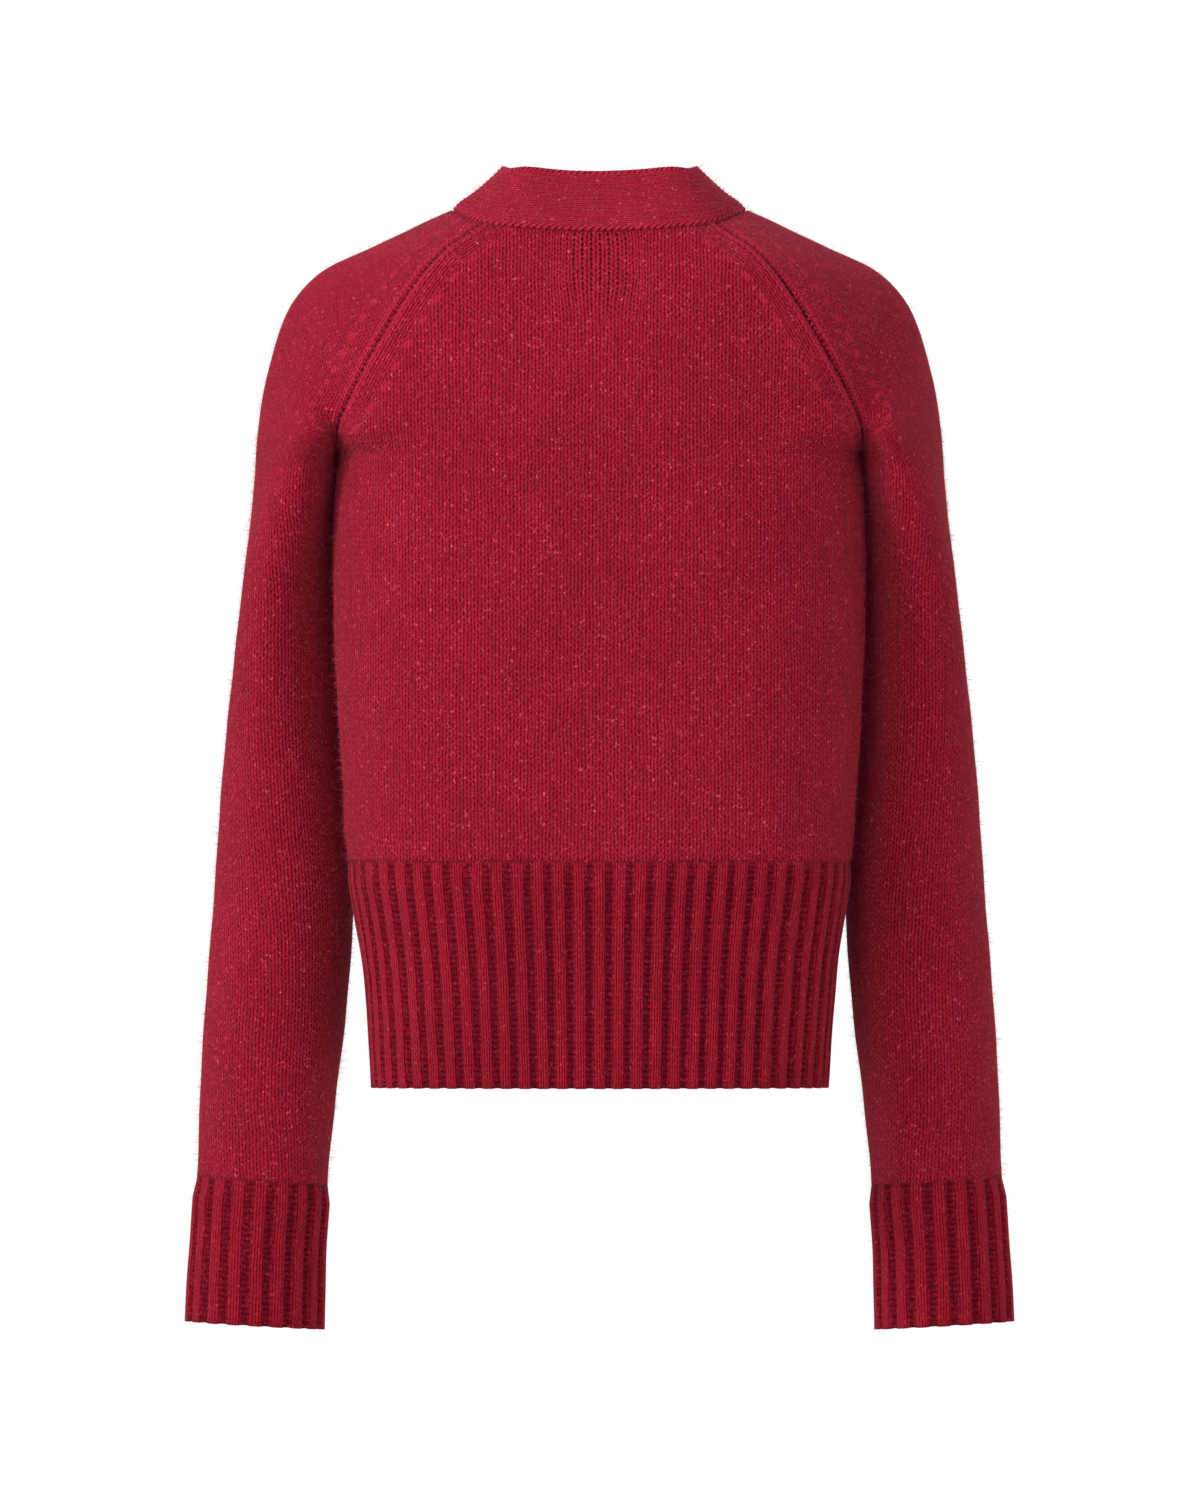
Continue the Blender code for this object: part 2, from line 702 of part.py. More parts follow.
def place_buttons(sections, material):
    """Buttons down the middle of the right band, just off its face."""
    data = button_mesh(material)
    flat = [index for index, corner in enumerate(BAND_SECTION) if corner.rise == BAND_RISE]
    middle = mirrored(sections[:, flat].mean(axis=1))[::-1]
    for index, drop in enumerate(np.linspace(TOP_BUTTON_DROP, BOTTOM_BUTTON_DROP, BUTTONS)):
        heights = np.array([-drop - BUTTON_RADIUS, -drop, -drop + BUTTON_RADIUS])
        columns = [np.interp(heights, middle[:, 2], middle[:, axis]) for axis in range(3)]
        low, place, high = np.stack(columns, axis=1)
        outward = unit(np.cross((1.0, 0.0, 0.0), high - low))
        place_button(f"button_{index + 1}", data, place + BUTTON_SEAT * outward, outward)


# The garment ---------------------------------------------------------------------------


def clear_scene():
    for item in list(bpy.data.objects):
        bpy.data.objects.remove(item)


def yarn(name, colour, roughness, metallic=0.0):
    material = bpy.data.materials.new(name)
    material.use_nodes = True
    shader = material.node_tree.nodes["Principled BSDF"]
    shader.inputs["Base Color"].default_value = colour
    shader.inputs["Roughness"].default_value = roughness
    shader.inputs["Metallic"].default_value = metallic
    return material


def add_wall(name, rows, normals, thickness, material, rises=0.0, rings=0, bottom=True):
    """A wall inside its outer grid, raised by `rises`. A free bottom edge keeps its place."""
    outer = rows + np.asarray(rises)[..., None] * normals
    inner = rows - thickness * normals
    outer = rim_pulled(outer, rings, bottom)
    inner = rim_pulled(inner, rings, bottom)
    return wall_object(name, outer, inner, material, rings)


def rib_relief(grid, count):
    """Rise of each point of a ribbed grid, fading out in its top row."""
    rises = np.tile(RIB_RAISE * rib_rises(count), (len(grid), 1))
    rises[-1] = 0.0
    return rises


def make_cardigan():
    clear_scene()
    bpy.context.scene.collection.children.link(bpy.data.collections.new("cardigan"))
    knit = yarn("knit_red", KNIT_RED, 0.90)
    ribbed = yarn("rib_red", RIB_RED, 0.92)
    banded = yarn("band_red", BAND_RED, 0.88)
    horn = yarn("button_red", BUTTON_RED, 0.35)

    yoke = even(YOKE_ROWS)
    rings = len(ARM_DROPS)
    body = len(BODY_DROPS)
    back = back_grid(BODY_DROPS, even(BACK_COLUMNS), yoke)
    back_rib = back_grid(HEM_DROPS, rib_shares(BACK_RIBS))
    sleeve = sleeve_grid()
    cuff_rings = [sleeve_ring(drop, FINE) for drop in CUFF_DROPS]
    cuff = np.array([at_shares(ring, rib_shares(CUFF_RIBS)) for ring in cuff_rings])

    back = creased(back)
    sleeve = creased(sleeve)
    back_out = grid_normals(back)
    back_rib_out = grid_normals(back_rib)
    sleeve_out = sleeve_normals(sleeve)
    cuff_out = grid_normals(cuff, closed=True)

    fronts = [front_grid(BODY_DROPS, even(FRONT_COLUMNS), side, yoke) for side in (1, -1)]
    fronts = [creased(front) for front in fronts]
    ribs = [front_grid(HEM_DROPS, rib_shares(FRONT_RIBS), side) for side in (1, -1)]
    fronts_out = [grid_normals(front) for front in fronts]
    ribs_out = [grid_normals(rib) for rib in ribs]
    back_seams = (back_out[body:, -1], sleeve_out[rings:, 0])
    front_seams = (*(out[body:, 0] for out in fronts_out), sleeve_out[rings:, -1])
    share_normals(*back_seams)
    share_normals(*front_seams)
    fold_normals(*back_seams, *front_seams)
    share_normals(back_out[:body, -1], *(out[:body, 0] for out in fronts_out))
    share_normals(back_rib_out[:, -1], *(out[:, 0] for out in ribs_out))
    back_out[:, 0] = mirrored(back_out[:, -1])
    back_rib_out[:, 0] = mirrored(back_rib_out[:, -1])

    add_wall("back_panel", back, back_out, KNIT_THICKNESS, knit)
    relief = rib_relief(back_rib, BACK_RIBS)
    add_wall("hem_rib_back", back_rib, back_rib_out, RIB_THICKNESS, ribbed, relief, bottom=False)
    halves = []
    for index, hand in enumerate(("left", "right")):
        front, front_out, rib, rib_out = fronts[index], fronts_out[index], ribs[index], ribs_out[index]
        turn = turned_over if hand == "right" else np.copy
        add_wall(f"front_panel_{hand}", turn(front), turn(front_out), KNIT_THICKNESS, knit)
        add_wall(f"hem_rib_front_{hand}", turn(rib), turn(rib_out), RIB_THICKNESS, ribbed,
                 rib_relief(rib, FRONT_RIBS), bottom=False)
        add_wall(f"sleeve_{hand}", turn(sleeve), turn(sleeve_out), KNIT_THICKNESS, knit,
                 rings=rings + 1)
        add_wall(f"cuff_{hand}", turn(cuff), turn(cuff_out), RIB_THICKNESS, ribbed,
                 rib_relief(cuff, CUFF_RIBS), rings=len(CUFF_DROPS), bottom=False)
        edge = sewn_edge(back, sleeve, front, rib)
        halves.append(band_half(edge, sewn_edge(back_out, sleeve_out, front_out, rib_out)))
    left, right = halves
    band_object(left, right, banded)
    place_buttons(right, horn)


make_cardigan()
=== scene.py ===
"""The looks of the cropped raglan cardigan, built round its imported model.

Every panel is a thin knitted shell on the surface that its solid has, with finer folds,
seams and ribs. Metres, +Z up, front towards -Y, wearer's left towards +X.
"""

import math
from collections import namedtuple

import bmesh
import bpy
import numpy as np
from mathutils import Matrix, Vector


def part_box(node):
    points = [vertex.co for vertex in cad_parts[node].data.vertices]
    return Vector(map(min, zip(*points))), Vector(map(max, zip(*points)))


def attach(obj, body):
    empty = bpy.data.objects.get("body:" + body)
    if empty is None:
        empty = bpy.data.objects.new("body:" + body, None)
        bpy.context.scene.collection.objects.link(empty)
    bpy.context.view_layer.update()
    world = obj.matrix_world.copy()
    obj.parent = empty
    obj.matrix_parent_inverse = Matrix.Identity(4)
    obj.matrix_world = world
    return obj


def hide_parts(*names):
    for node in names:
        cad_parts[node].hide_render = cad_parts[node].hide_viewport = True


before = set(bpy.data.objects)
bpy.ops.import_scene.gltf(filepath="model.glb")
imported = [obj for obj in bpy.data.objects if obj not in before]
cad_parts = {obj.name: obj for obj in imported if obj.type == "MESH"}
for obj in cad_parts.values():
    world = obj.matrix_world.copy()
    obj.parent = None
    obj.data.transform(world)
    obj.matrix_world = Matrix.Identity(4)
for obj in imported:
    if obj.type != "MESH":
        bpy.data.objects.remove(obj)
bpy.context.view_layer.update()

# Cloth
KNIT_THICKNESS = 0.0024
RIB_THICKNESS = 0.0020
RIB_RAISE = 0.0018
BAND_WIDTH = 0.042
BAND_THICKNESS = 0.0036

# Lengths down the garment
BODY_DROP = 0.382
HEM_DROP = 0.517
SLEEVE_DROP = 0.574
CUFF_DROP = 0.661
V_DROP = 0.175

# Ribs, and where each solid one's section turns, as shares of its pitch
RIB_TURNS = (0.12, 0.27, 0.73, 0.88)
BACK_RIBS = 31
FRONT_RIBS = 16
CUFF_RIBS = 18

# Grid sizes of the plain cloth
YOKE_ROWS = 9
BACK_COLUMNS = 24
FRONT_COLUMNS = 8
SLEEVE_COLUMNS = 20
FINE = 160

# Heights of the rows, from the bottom up
BODY_DROPS = (BODY_DROP, 0.335, 0.285, 0.240, 0.200, 0.165)
ARM_DROPS = (SLEEVE_DROP, 0.550, 0.500, 0.450, 0.400, 0.350, 0.300, 0.250, 0.210, 0.180, 0.158)
HEM_DROPS = (HEM_DROP, 0.445, 0.392, BODY_DROP)

# Front closing: the right band lies over the left one
BAND_HALF = BAND_WIDTH / 2
LAP_SHIFT = 0.0022
LAP_FROM = 0.075
LAP_FULL = 0.118
LAP_NARROW = 0.045
LAP_WIDE = 0.100
BUTTONS = 6
TOP_BUTTON_DROP = 0.190
BOTTOM_BUTTON_DROP = 0.500
BUTTON_RADIUS = 0.0085
BUTTON_THICKNESS = 0.0034
BUTTON_RIM = 0.0018
BUTTON_DISH = 0.0010

# Where the body, its side seam and the sleeve meet
UNDERARM = (0.157, 0.015, -0.137)
SIDE_SEAM_Y = 0.015
CREASE_END = 0.42
CREASE_GAP = 0.0010
SHARE_STEP = 0.04
BODY_RISE = 0.08
ARM_RISE = 0.19

Girth = namedtuple("Girth", "drop half_width back front")
TORSO = (
    Girth(0.137, 0.1570, 0.103, -0.112),
    Girth(0.180, 0.1595, 0.104, -0.119),
    Girth(0.225, 0.1590, 0.102, -0.121),
    Girth(0.285, 0.1570, 0.099, -0.118),
    Girth(0.335, 0.1540, 0.096, -0.113),
    Girth(0.382, 0.1505, 0.094, -0.108),
    Girth(0.410, 0.1460, 0.092, -0.105),
    Girth(0.441, 0.1410, 0.090, -0.102),
    Girth(0.465, 0.1385, 0.089, -0.100),
    Girth(0.517, 0.1350, 0.087, -0.098),
)

# Guide lines over the yoke. Share 0 is the underarm and share 1 the neck.
Guide = namedtuple("Guide", "share x y z")
BACK_RAGLAN = (
    Guide(0.00, *UNDERARM),
    Guide(0.15, 0.1570, 0.0510, -0.1270),
    Guide(0.30, 0.1515, 0.0650, -0.1080),
    Guide(0.50, 0.1360, 0.0730, -0.0770),
    Guide(0.75, 0.1060, 0.0710, -0.0310),
    Guide(1.00, 0.0700, 0.0510, 0.0005),
)
FRONT_RAGLAN = (
    Guide(0.00, *UNDERARM),
    Guide(0.15, 0.1555, -0.0390, -0.1290),
    Guide(0.30, 0.1490, -0.0550, -0.1120),
    Guide(0.50, 0.1340, -0.0650, -0.0850),
    Guide(0.75, 0.1080, -0.0640, -0.0470),
    Guide(1.00, 0.0810, -0.0420, -0.0130),
)
SHOULDER_LINE = (
    Guide(0.00, 0.2065, -0.012, -0.1500),
    Guide(0.15, 0.2045, -0.010, -0.1220),
    Guide(0.30, 0.1985, -0.008, -0.0870),
    Guide(0.42, 0.1905, -0.006, -0.0600),
    Guide(0.50, 0.1835, -0.004, -0.0455),
    Guide(0.60, 0.1690, -0.002, -0.0300),
    Guide(0.75, 0.1340, 0.000, -0.0120),
    Guide(1.00, 0.0890, 0.000, 0.0070),
)
CENTRE_BACK = (
    Guide(0.00, 0.0, 0.1030, -0.1370),
    Guide(0.25, 0.0, 0.1015, -0.1130),
    Guide(0.50, 0.0, 0.0940, -0.0770),
    Guide(0.75, 0.0, 0.0810, -0.0370),
    Guide(1.00, 0.0, 0.0620, -0.0036),
)
CENTRE_FRONT = (
    Guide(0.00, 0.0, -0.1120, -0.1370),
    Guide(0.25, 0.0, -0.1060, -0.1150),
    Guide(0.50, 0.0, -0.0960, -0.0850),
    Guide(0.75, 0.0, -0.0820, -0.0500),
    Guide(1.00, 0.0, -0.0640, -0.0200),
)

# The V: how far each front's edge lies from the centre
NeckEdge = namedtuple("NeckEdge", "drop half_width")
NECK_EDGE = (
    NeckEdge(0.014, 0.0785),
    NeckEdge(0.050, 0.0665),
    NeckEdge(0.090, 0.0530),
    NeckEdge(0.137, 0.0345),
    NeckEdge(0.165, 0.0235),
    NeckEdge(V_DROP, BAND_HALF),
    NeckEdge(HEM_DROP, BAND_HALF),
)

# Sleeve sections: reach is their outermost x, cant the rise of the ring as it goes out
ArmRing = namedtuple("ArmRing", "drop reach half_width half_depth turn y cant")
ARM = (
    ArmRing(0.145, 0.2065, 0.0235, 0.066, 6.0, -0.007, -0.20),
    ArmRing(0.180, 0.2112, 0.0245, 0.064, 10.0, -0.014, -0.12),
    ArmRing(0.225, 0.2160, 0.0280, 0.060, 15.0, -0.024, -0.04),
    ArmRing(0.285, 0.2223, 0.0335, 0.055, 16.0, -0.036, 0.02),
    ArmRing(0.345, 0.2280, 0.0385, 0.051, 12.0, -0.040, 0.04),
    ArmRing(0.405, 0.2325, 0.0420, 0.048, 5.0, -0.042, 0.05),
    ArmRing(0.465, 0.2367, 0.0425, 0.046, 0.0, -0.044, 0.06),
    ArmRing(0.525, 0.2406, 0.0410, 0.043, 0.0, -0.047, 0.06),
    ArmRing(0.574, 0.2427, 0.0395, 0.037, 0.0, -0.050, 0.06),
    ArmRing(0.610, 0.2448, 0.0395, 0.034, 0.0, -0.052, 0.06),
    ArmRing(0.661, 0.2475, 0.0405, 0.034, 0.0, -0.055, 0.06),
)
ARM_BLEND = 0.090

# Bezier handles of the sleeve's lowest yoke ring, where it folds back on the body
UNDERARM_BACK_HANDLES = (0.070, 0.088)
UNDERARM_FRONT_HANDLES = (0.094, 0.098)

# Fullness of the arcs: the back is flatter than the front, and the yoke rounder than both
ROUND = 0.56
BACK_FLAT = 0.69
FRONT_FLAT = 0.60

# Soft creases in the cloth beside the underarm, pressed in from the side they lie on, and
# mirrored to the other half
Crease = namedtuple("Crease", "x1 y1 z1 x2 y2 z2 depth width")
CREASES = (
    Crease(0.180, 0.050, -0.104, 0.164, 0.054, -0.160, 0.0026, 0.012),
    Crease(0.178, -0.064, -0.106, 0.164, -0.068, -0.160, 0.0024, 0.012),
)

# How far the band stands up from the cloth's own slope, by distance from the centre back
Stand = namedtuple("Stand", "distance degrees")
BAND_STAND = (
    Stand(0.000, -4.0),
    Stand(0.030, 0.0),
    Stand(0.060, 14.0),
    Stand(0.085, 20.0),
    Stand(0.115, 23.0),
    Stand(0.170, 13.0),
    Stand(0.240, 3.0),
    Stand(0.340, 0.0),
    Stand(0.800, 0.0),
)
BAND_SMOOTHING = 8
BAND_GAP = 0.0006
BAND_RISE = 0.0009


def follow(table, at):
    """The table's other columns where its first one is `at`, on a smooth curve through its rows."""
    rows = np.array(table, dtype=float)
    keys = rows[:, 0]
    values = rows[:, 1:]
    slopes = np.gradient(values, keys, axis=0)
    secants = np.diff(values, axis=0) / np.diff(keys)[:, None]
    limits = 3 * np.minimum(abs(secants[:-1]), abs(secants[1:])) * (secants[:-1] * secants[1:] > 0)
    slopes[1:-1] = np.clip(slopes[1:-1], -limits, limits)
    index = int(np.clip(np.searchsorted(keys, at) - 1, 0, len(keys) - 2))
    span = keys[index + 1] - keys[index]
    u = float(np.clip((at - keys[index]) / span, 0.0, 1.0))
    start = (1 + 2 * u) * (1 - u) ** 2 * values[index]
    end = u * u * (3 - 2 * u) * values[index + 1]
    lean = u * (1 - u) * span * ((1 - u) * slopes[index] - u * slopes[index + 1])
    return start + end + lean


def ease(low, high, value):
    """0 below low, 1 above high and a soft step between them."""
    u = min(max((value - low) / (high - low), 0.0), 1.0)
    return u * u * (3 - 2 * u)


def unit(vectors):
    vectors = np.asarray(vectors, dtype=float)
    return vectors / np.maximum(np.linalg.norm(vectors, axis=-1, keepdims=True), 1e-12)


def bezier(start, start_handle, end_handle, end, count):
    u = np.linspace(0.0, 1.0, count + 1)[:, None]
    a = (1 - u) ** 3 * start
    b = 3 * u * (1 - u) ** 2 * (start + start_handle)
    c = 3 * u * u * (1 - u) * (end + end_handle)
    return a + b + c + u**3 * end


def handle_lengths(start, along_start, end, along_end, fullness):
    """Handles that bend a Bezier like a quarter of an ellipse between two directions."""
    chord = end - start
    basis = np.stack([along_start, along_end], axis=1)
    lengths = np.linalg.lstsq(basis, chord, rcond=0.05)[0]
    size = np.linalg.norm(chord)
    return fullness * np.clip(lengths, 0.30 * size, 1.05 * size)


def round_arc(start, along_start, end, along_end, fullness, count):
    first, last = handle_lengths(start, along_start, end, along_end, fullness)
    return bezier(start, first * along_start, -last * along_end, end, count)


def at_shares(points, shares):
    """Points of the same line at shares of its length."""
    steps = np.linalg.norm(np.diff(points, axis=0), axis=1)
    along = np.concatenate([[0.0], np.cumsum(steps)])
    wanted = np.asarray(shares) * along[-1]
    return np.stack([np.interp(wanted, along, points[:, k]) for k in range(3)], axis=1)


def even(count):
    return np.linspace(0.0, 1.0, count + 1)


def mirrored(points):
    return np.asarray(points) * (-1.0, 1.0, 1.0)


# The cloth's middle surface, row by row


def seam_direction(share, raglan, centre):
    """Direction across a raglan seam, from the body to the sleeve, where the yoke is smooth."""
    seam = follow(raglan, share)
    body = seam - follow(centre, share)
    arm = follow(SHOULDER_LINE, share) - seam
    body_length = np.linalg.norm(body)
    arm_length = np.linalg.norm(arm)
    return unit(unit(body) * arm_length + unit(arm) * body_length)


def body_ring_arc(drop, back, count):
    """Half a row of the body below the underarm, from its centre line out to the side seam."""
    girth = Girth(drop, *follow(TORSO, drop))
    depth = girth.back if back else girth.front
    middle = np.array([0.0, depth, -drop])
    side = np.array([girth.half_width, SIDE_SEAM_Y, -drop])
    around = np.array([0.0, -math.copysign(1.0, depth), 0.0])
    flat = BACK_FLAT if back else FRONT_FLAT
    arc = round_arc(middle, np.array([1.0, 0.0, 0.0]), side, around, flat, FINE)
    return at_shares(arc, even(count))


def smooth_body_arc(share, back, count):
    """Half a row of the body where the yoke runs smoothly into the sleeve."""
    raglan, centre = (BACK_RAGLAN, CENTRE_BACK) if back else (FRONT_RAGLAN, CENTRE_FRONT)
    seam = follow(raglan, share)
    middle = follow(centre, share)
    across = seam_direction(share, raglan, centre)
    arc = round_arc(middle, np.array([1.0, 0.0, 0.0]), seam, across, ROUND, FINE)
    return at_shares(arc, even(count))


def between(low, below, high, above, share):
    """A row between the underarm row and the one where the crease ends, from the rows around both.

    `below` lies one step down from `low`, and `above` one step up from `high`.
    """
    u = share / CREASE_END
    low_slope = (low - below) * CREASE_END / SHARE_STEP
    high_slope = (above - high) * CREASE_END / SHARE_STEP
    row = (1 + 2 * u) * (1 - u) ** 2 * low + u * u * (3 - 2 * u) * high
    return row + u * (1 - u) * ((1 - u) * low_slope - u * high_slope)


def drawn_to(row, index, place, reach):
    """The row moved so that one of its points is at `place`, fading out over `reach` points."""
    away = np.abs(np.arange(len(row)) - index) / reach
    weight = np.clip(1.0 - away, 0.0, 1.0)[:, None]
    return row + weight * weight * (3 - 2 * weight) * (place - row[index])


def body_yoke_arc(share, back, count):
    """Half a row of the body above the underarm, from its centre line out to a raglan seam."""
    if share >= CREASE_END:
        return smooth_body_arc(share, back, count)
    underarm = TORSO[0].drop
    row = between(
        body_ring_arc(underarm, back, count),
        body_ring_arc(underarm + BODY_RISE * SHARE_STEP, back, count),
        smooth_body_arc(CREASE_END, back, count),
        smooth_body_arc(CREASE_END + SHARE_STEP, back, count),
        share,
    )
    raglan, centre = (BACK_RAGLAN, CENTRE_BACK) if back else (FRONT_RAGLAN, CENTRE_FRONT)
    row = drawn_to(row, 0, follow(centre, share), count)
    return drawn_to(row, count, follow(raglan, share), count / 2)


def over_shoulder(seam, out, top, side, lengths, count):
    """Half a sleeve row, from a raglan seam to the line over the shoulder."""
    over = side * np.array([0.0, -1.0, 0.0])
    arc = bezier(seam, lengths[0] * out, -lengths[1] * over, top, FINE)
    return at_shares(arc, even(count // 2))


def smooth_sleeve_row(share, count):
    """A row of the sleeve's cap where it runs smoothly into the body, back seam to front seam."""
    top = follow(SHOULDER_LINE, share)
    halves = []
    for raglan, centre, side in ((BACK_RAGLAN, CENTRE_BACK, 1.0), (FRONT_RAGLAN, CENTRE_FRONT, -1.0)):
        seam = follow(raglan, share)
        out = seam_direction(share, raglan, centre)
        over = side * np.array([0.0, -1.0, 0.0])
        lengths = handle_lengths(seam, out, top, over, ROUND)
        halves.append(over_shoulder(seam, out, top, side, lengths, count))
    return np.concatenate([halves[0], halves[1][-2::-1]])


def underarm_row(count):
    """The sleeve's row through the underarm, where it folds right back on the body."""
    seam = np.array(UNDERARM)
    top = follow(SHOULDER_LINE, 0.0)
    back = np.array([0.0, 1.0, 0.0])
    first = over_shoulder(seam, back, top, 1.0, UNDERARM_BACK_HANDLES, count)
    last = over_shoulder(seam, -back, top, -1.0, UNDERARM_FRONT_HANDLES, count)
    return np.concatenate([first, last[-2::-1]])


def arm_ring(drop, count):
    """A closed row of the sleeve, which starts and ends on the side that faces the body."""
    ring = ArmRing(drop, *follow(ARM, drop))
    turn = math.radians(ring.turn)
    reach = math.hypot(ring.half_width * math.cos(turn), ring.half_depth * math.sin(turn))
    angle = np.linspace(0.0, 2 * math.pi, 2 * FINE + 1)
    out = -ring.half_width * np.cos(angle)
    back = ring.half_depth * np.sin(angle)
    x = out * math.cos(turn) + back * math.sin(turn)
    y = ring.y - out * math.sin(turn) + back * math.cos(turn)
    whole = np.stack([ring.reach - reach + x, y, ring.cant * x - drop], axis=1)
    first = at_shares(whole[: FINE + 1], even(count // 2))
    last = at_shares(whole[FINE:], even(count // 2))
    return np.concatenate([first, last[1:]])


def sleeve_ring(drop, count):
    """An arm ring that takes on the form of the underarm row as it nears it."""
    top_drop = ARM[0].drop
    share = 1.0 - ease(0.0, ARM_BLEND, drop - top_drop)
    return arm_ring(drop, count) + share * (underarm_row(count) - arm_ring(top_drop, count))


def sleeve_yoke_row(share, count):
    """A row of the sleeve above the underarm, from the back seam over the shoulder to the front."""
    if share >= CREASE_END:
        return smooth_sleeve_row(share, count)
    row = between(
        underarm_row(count),
        sleeve_ring(ARM[0].drop + ARM_RISE * SHARE_STEP, count),
        smooth_sleeve_row(CREASE_END, count),
        smooth_sleeve_row(CREASE_END + SHARE_STEP, count),
        share,
    )
    row = drawn_to(row, count // 2, follow(SHOULDER_LINE, share), count / 2)
    row = drawn_to(row, 0, follow(BACK_RAGLAN, share), count / 3)
    return drawn_to(row, count, follow(FRONT_RAGLAN, share), count / 3)


def creased(points):
    """The cloth pressed in, forwards or backwards, along each crease."""
    points = points.copy()
    leftward = np.abs(points) * (1, 0, 0) + points * (0, 1, 1)
    for crease in CREASES:
        start = np.array([crease.x1, crease.y1, crease.z1])
        line = np.array([crease.x2, crease.y2, crease.z2]) - start
        along = np.clip((leftward - start) @ line / (line @ line), 0.0, 1.0)
        away = np.linalg.norm(leftward - start - along[..., None] * line, axis=-1)
        taper = np.sin(math.pi * (0.15 + 0.70 * along))
        depth = crease.depth * taper * np.exp(-((away / crease.width) ** 2))
        points[..., 1] -= math.copysign(1.0, crease.y1) * depth
    return points


def lapped(points, side):
    """The fronts part in depth at the closing: the right one outwards and the left one inwards."""
    points = points.copy()
    for point in points.reshape(-1, 3):
        down = ease(LAP_FROM, LAP_FULL, -point[2])
        near = 1.0 - ease(LAP_NARROW, LAP_WIDE, abs(point[0]))
        point[1] += side * LAP_SHIFT * down * near
    return points


def cut_at_edge(arc):
    """The outer stretch of a front row, from its seam in to the edge that the band is sewn to."""
    edges = np.array([follow(NECK_EDGE, -z)[0] for z in arc[:, 2]])
    first = int(np.argmax(arc[:, 0] >= edges))
    gaps = arc[first - 1 : first + 1, 0] - edges[first - 1 : first + 1]
    share = gaps[1] / (gaps[1] - gaps[0])
    edge = arc[first] + share * (arc[first - 1] - arc[first])
    return np.vstack([edge, arc[first:]])[::-1]


# Grids: their rows go up and their columns go clockwise, seen from above


def turned_over(rows):
    """The same grid on the right-hand side."""
    return mirrored(rows)[:, ::-1]


def back_grid(drops, shares, yoke_rows=()):
    """Rows from the right seam to the left one."""
    arcs = [body_ring_arc(drop, True, FINE) for drop in drops]
    arcs += [body_yoke_arc(share, True, FINE) for share in yoke_rows]
    whole = [np.concatenate([mirrored(arc)[::-1], arc[1:]]) for arc in arcs]
    return np.array([at_shares(row, shares) for row in whole])


def front_grid(drops, shares, side, yoke_rows=()):
    """Rows of the left front, from its seam to its band. The right one is turned over later."""
    arcs = [body_ring_arc(drop, False, FINE) for drop in drops]
    arcs += [body_yoke_arc(share, False, FINE) for share in yoke_rows]
    return lapped(np.array([at_shares(cut_at_edge(arc), shares) for arc in arcs]), side)


def sleeve_grid():
    """Closed rings up to the underarm, then arcs that stand a little off the body's fold."""
    rows = [sleeve_ring(drop, SLEEVE_COLUMNS) for drop in ARM_DROPS]
    for share in even(YOKE_ROWS):
        off = CREASE_GAP * (1.0 - ease(CREASE_END / 2, 3 * CREASE_END / 2, share))
        rows.append(sleeve_yoke_row(share, SLEEVE_COLUMNS) + np.array([off, 0.0, 0.0]))
    return np.array(rows)


def rib_shares(count):
    shares = [(rib + turn) / count for rib in range(count) for turn in RIB_TURNS]
    return np.array([0.0, *shares, 1.0])


# Walls


def grid_normals(rows, closed=False):
    """Outward directions at the points of a grid."""
    up = np.gradient(rows, axis=0)
    if closed:
        around = np.roll(rows[:, :-1], -1, axis=1) - np.roll(rows[:, :-1], 1, axis=1)
        around = np.concatenate([around, around[:, :1]], axis=1)
    else:
        around = np.gradient(rows, axis=1)
    return unit(np.cross(up, around))


def share_normals(*seams):
    """Gives both sides of a seam the direction halfway between their own."""
    middle = unit(sum(seams))
    for seam in seams:
        seam[...] = middle


def sewn_edge(back, sleeve, front, rib):
    """Points, or directions, along the edge that the band is sewn to, centre back to hem."""
    half = back.shape[1] // 2
    pieces = (
        back[-1, half:],
        sleeve[-1, 2:-1:2],
        front[-1:, 0],
        front[::-1, -1],
        rib[-2::-1, -1],
    )
    return np.concatenate(pieces)


def smoothed(directions):
    """Directions along the band with their sudden turns spread out."""
    directions = directions.copy()
    for _ in range(BAND_SMOOTHING):
        directions[1:-1] = (directions[:-2] + 2 * directions[1:-1] + directions[2:]) / 4
    return unit(directions)


def band_half(edge, out):
    """Edge points, directions across the band and outwards, from the centre back to the hem."""
    steps = np.linalg.norm(np.diff(edge, axis=0), axis=1)
    distances = np.concatenate([[0.0], np.cumsum(steps)])
    ahead = np.gradient(edge, axis=0)
    ahead[0] = (1.0, 0.0, 0.0)
    ahead = smoothed(unit(ahead))
    for place, direction in zip(edge, out):
        direction[0] *= 1.0 - ease(LAP_FROM, LAP_FULL, -place[2])
    out = smoothed(unit(out))
    stand = np.radians([follow(BAND_STAND, distance)[0] for distance in distances])[:, None]
    across = np.cos(stand) * unit(np.cross(ahead, out)) + np.sin(stand) * out
    neck = int(np.argmax(edge[:, 2] < -LAP_FULL))
    free = (edge + BAND_WIDTH * across)[:neck]
    for _ in range(BAND_SMOOTHING):
        free[1:-1] = (free[:-2] + 2 * free[1:-1] + free[2:]) / 4
    across[:neck] = unit(free - edge[:neck])
    return edge, across, unit(np.cross(across, ahead))


# Fine cloth

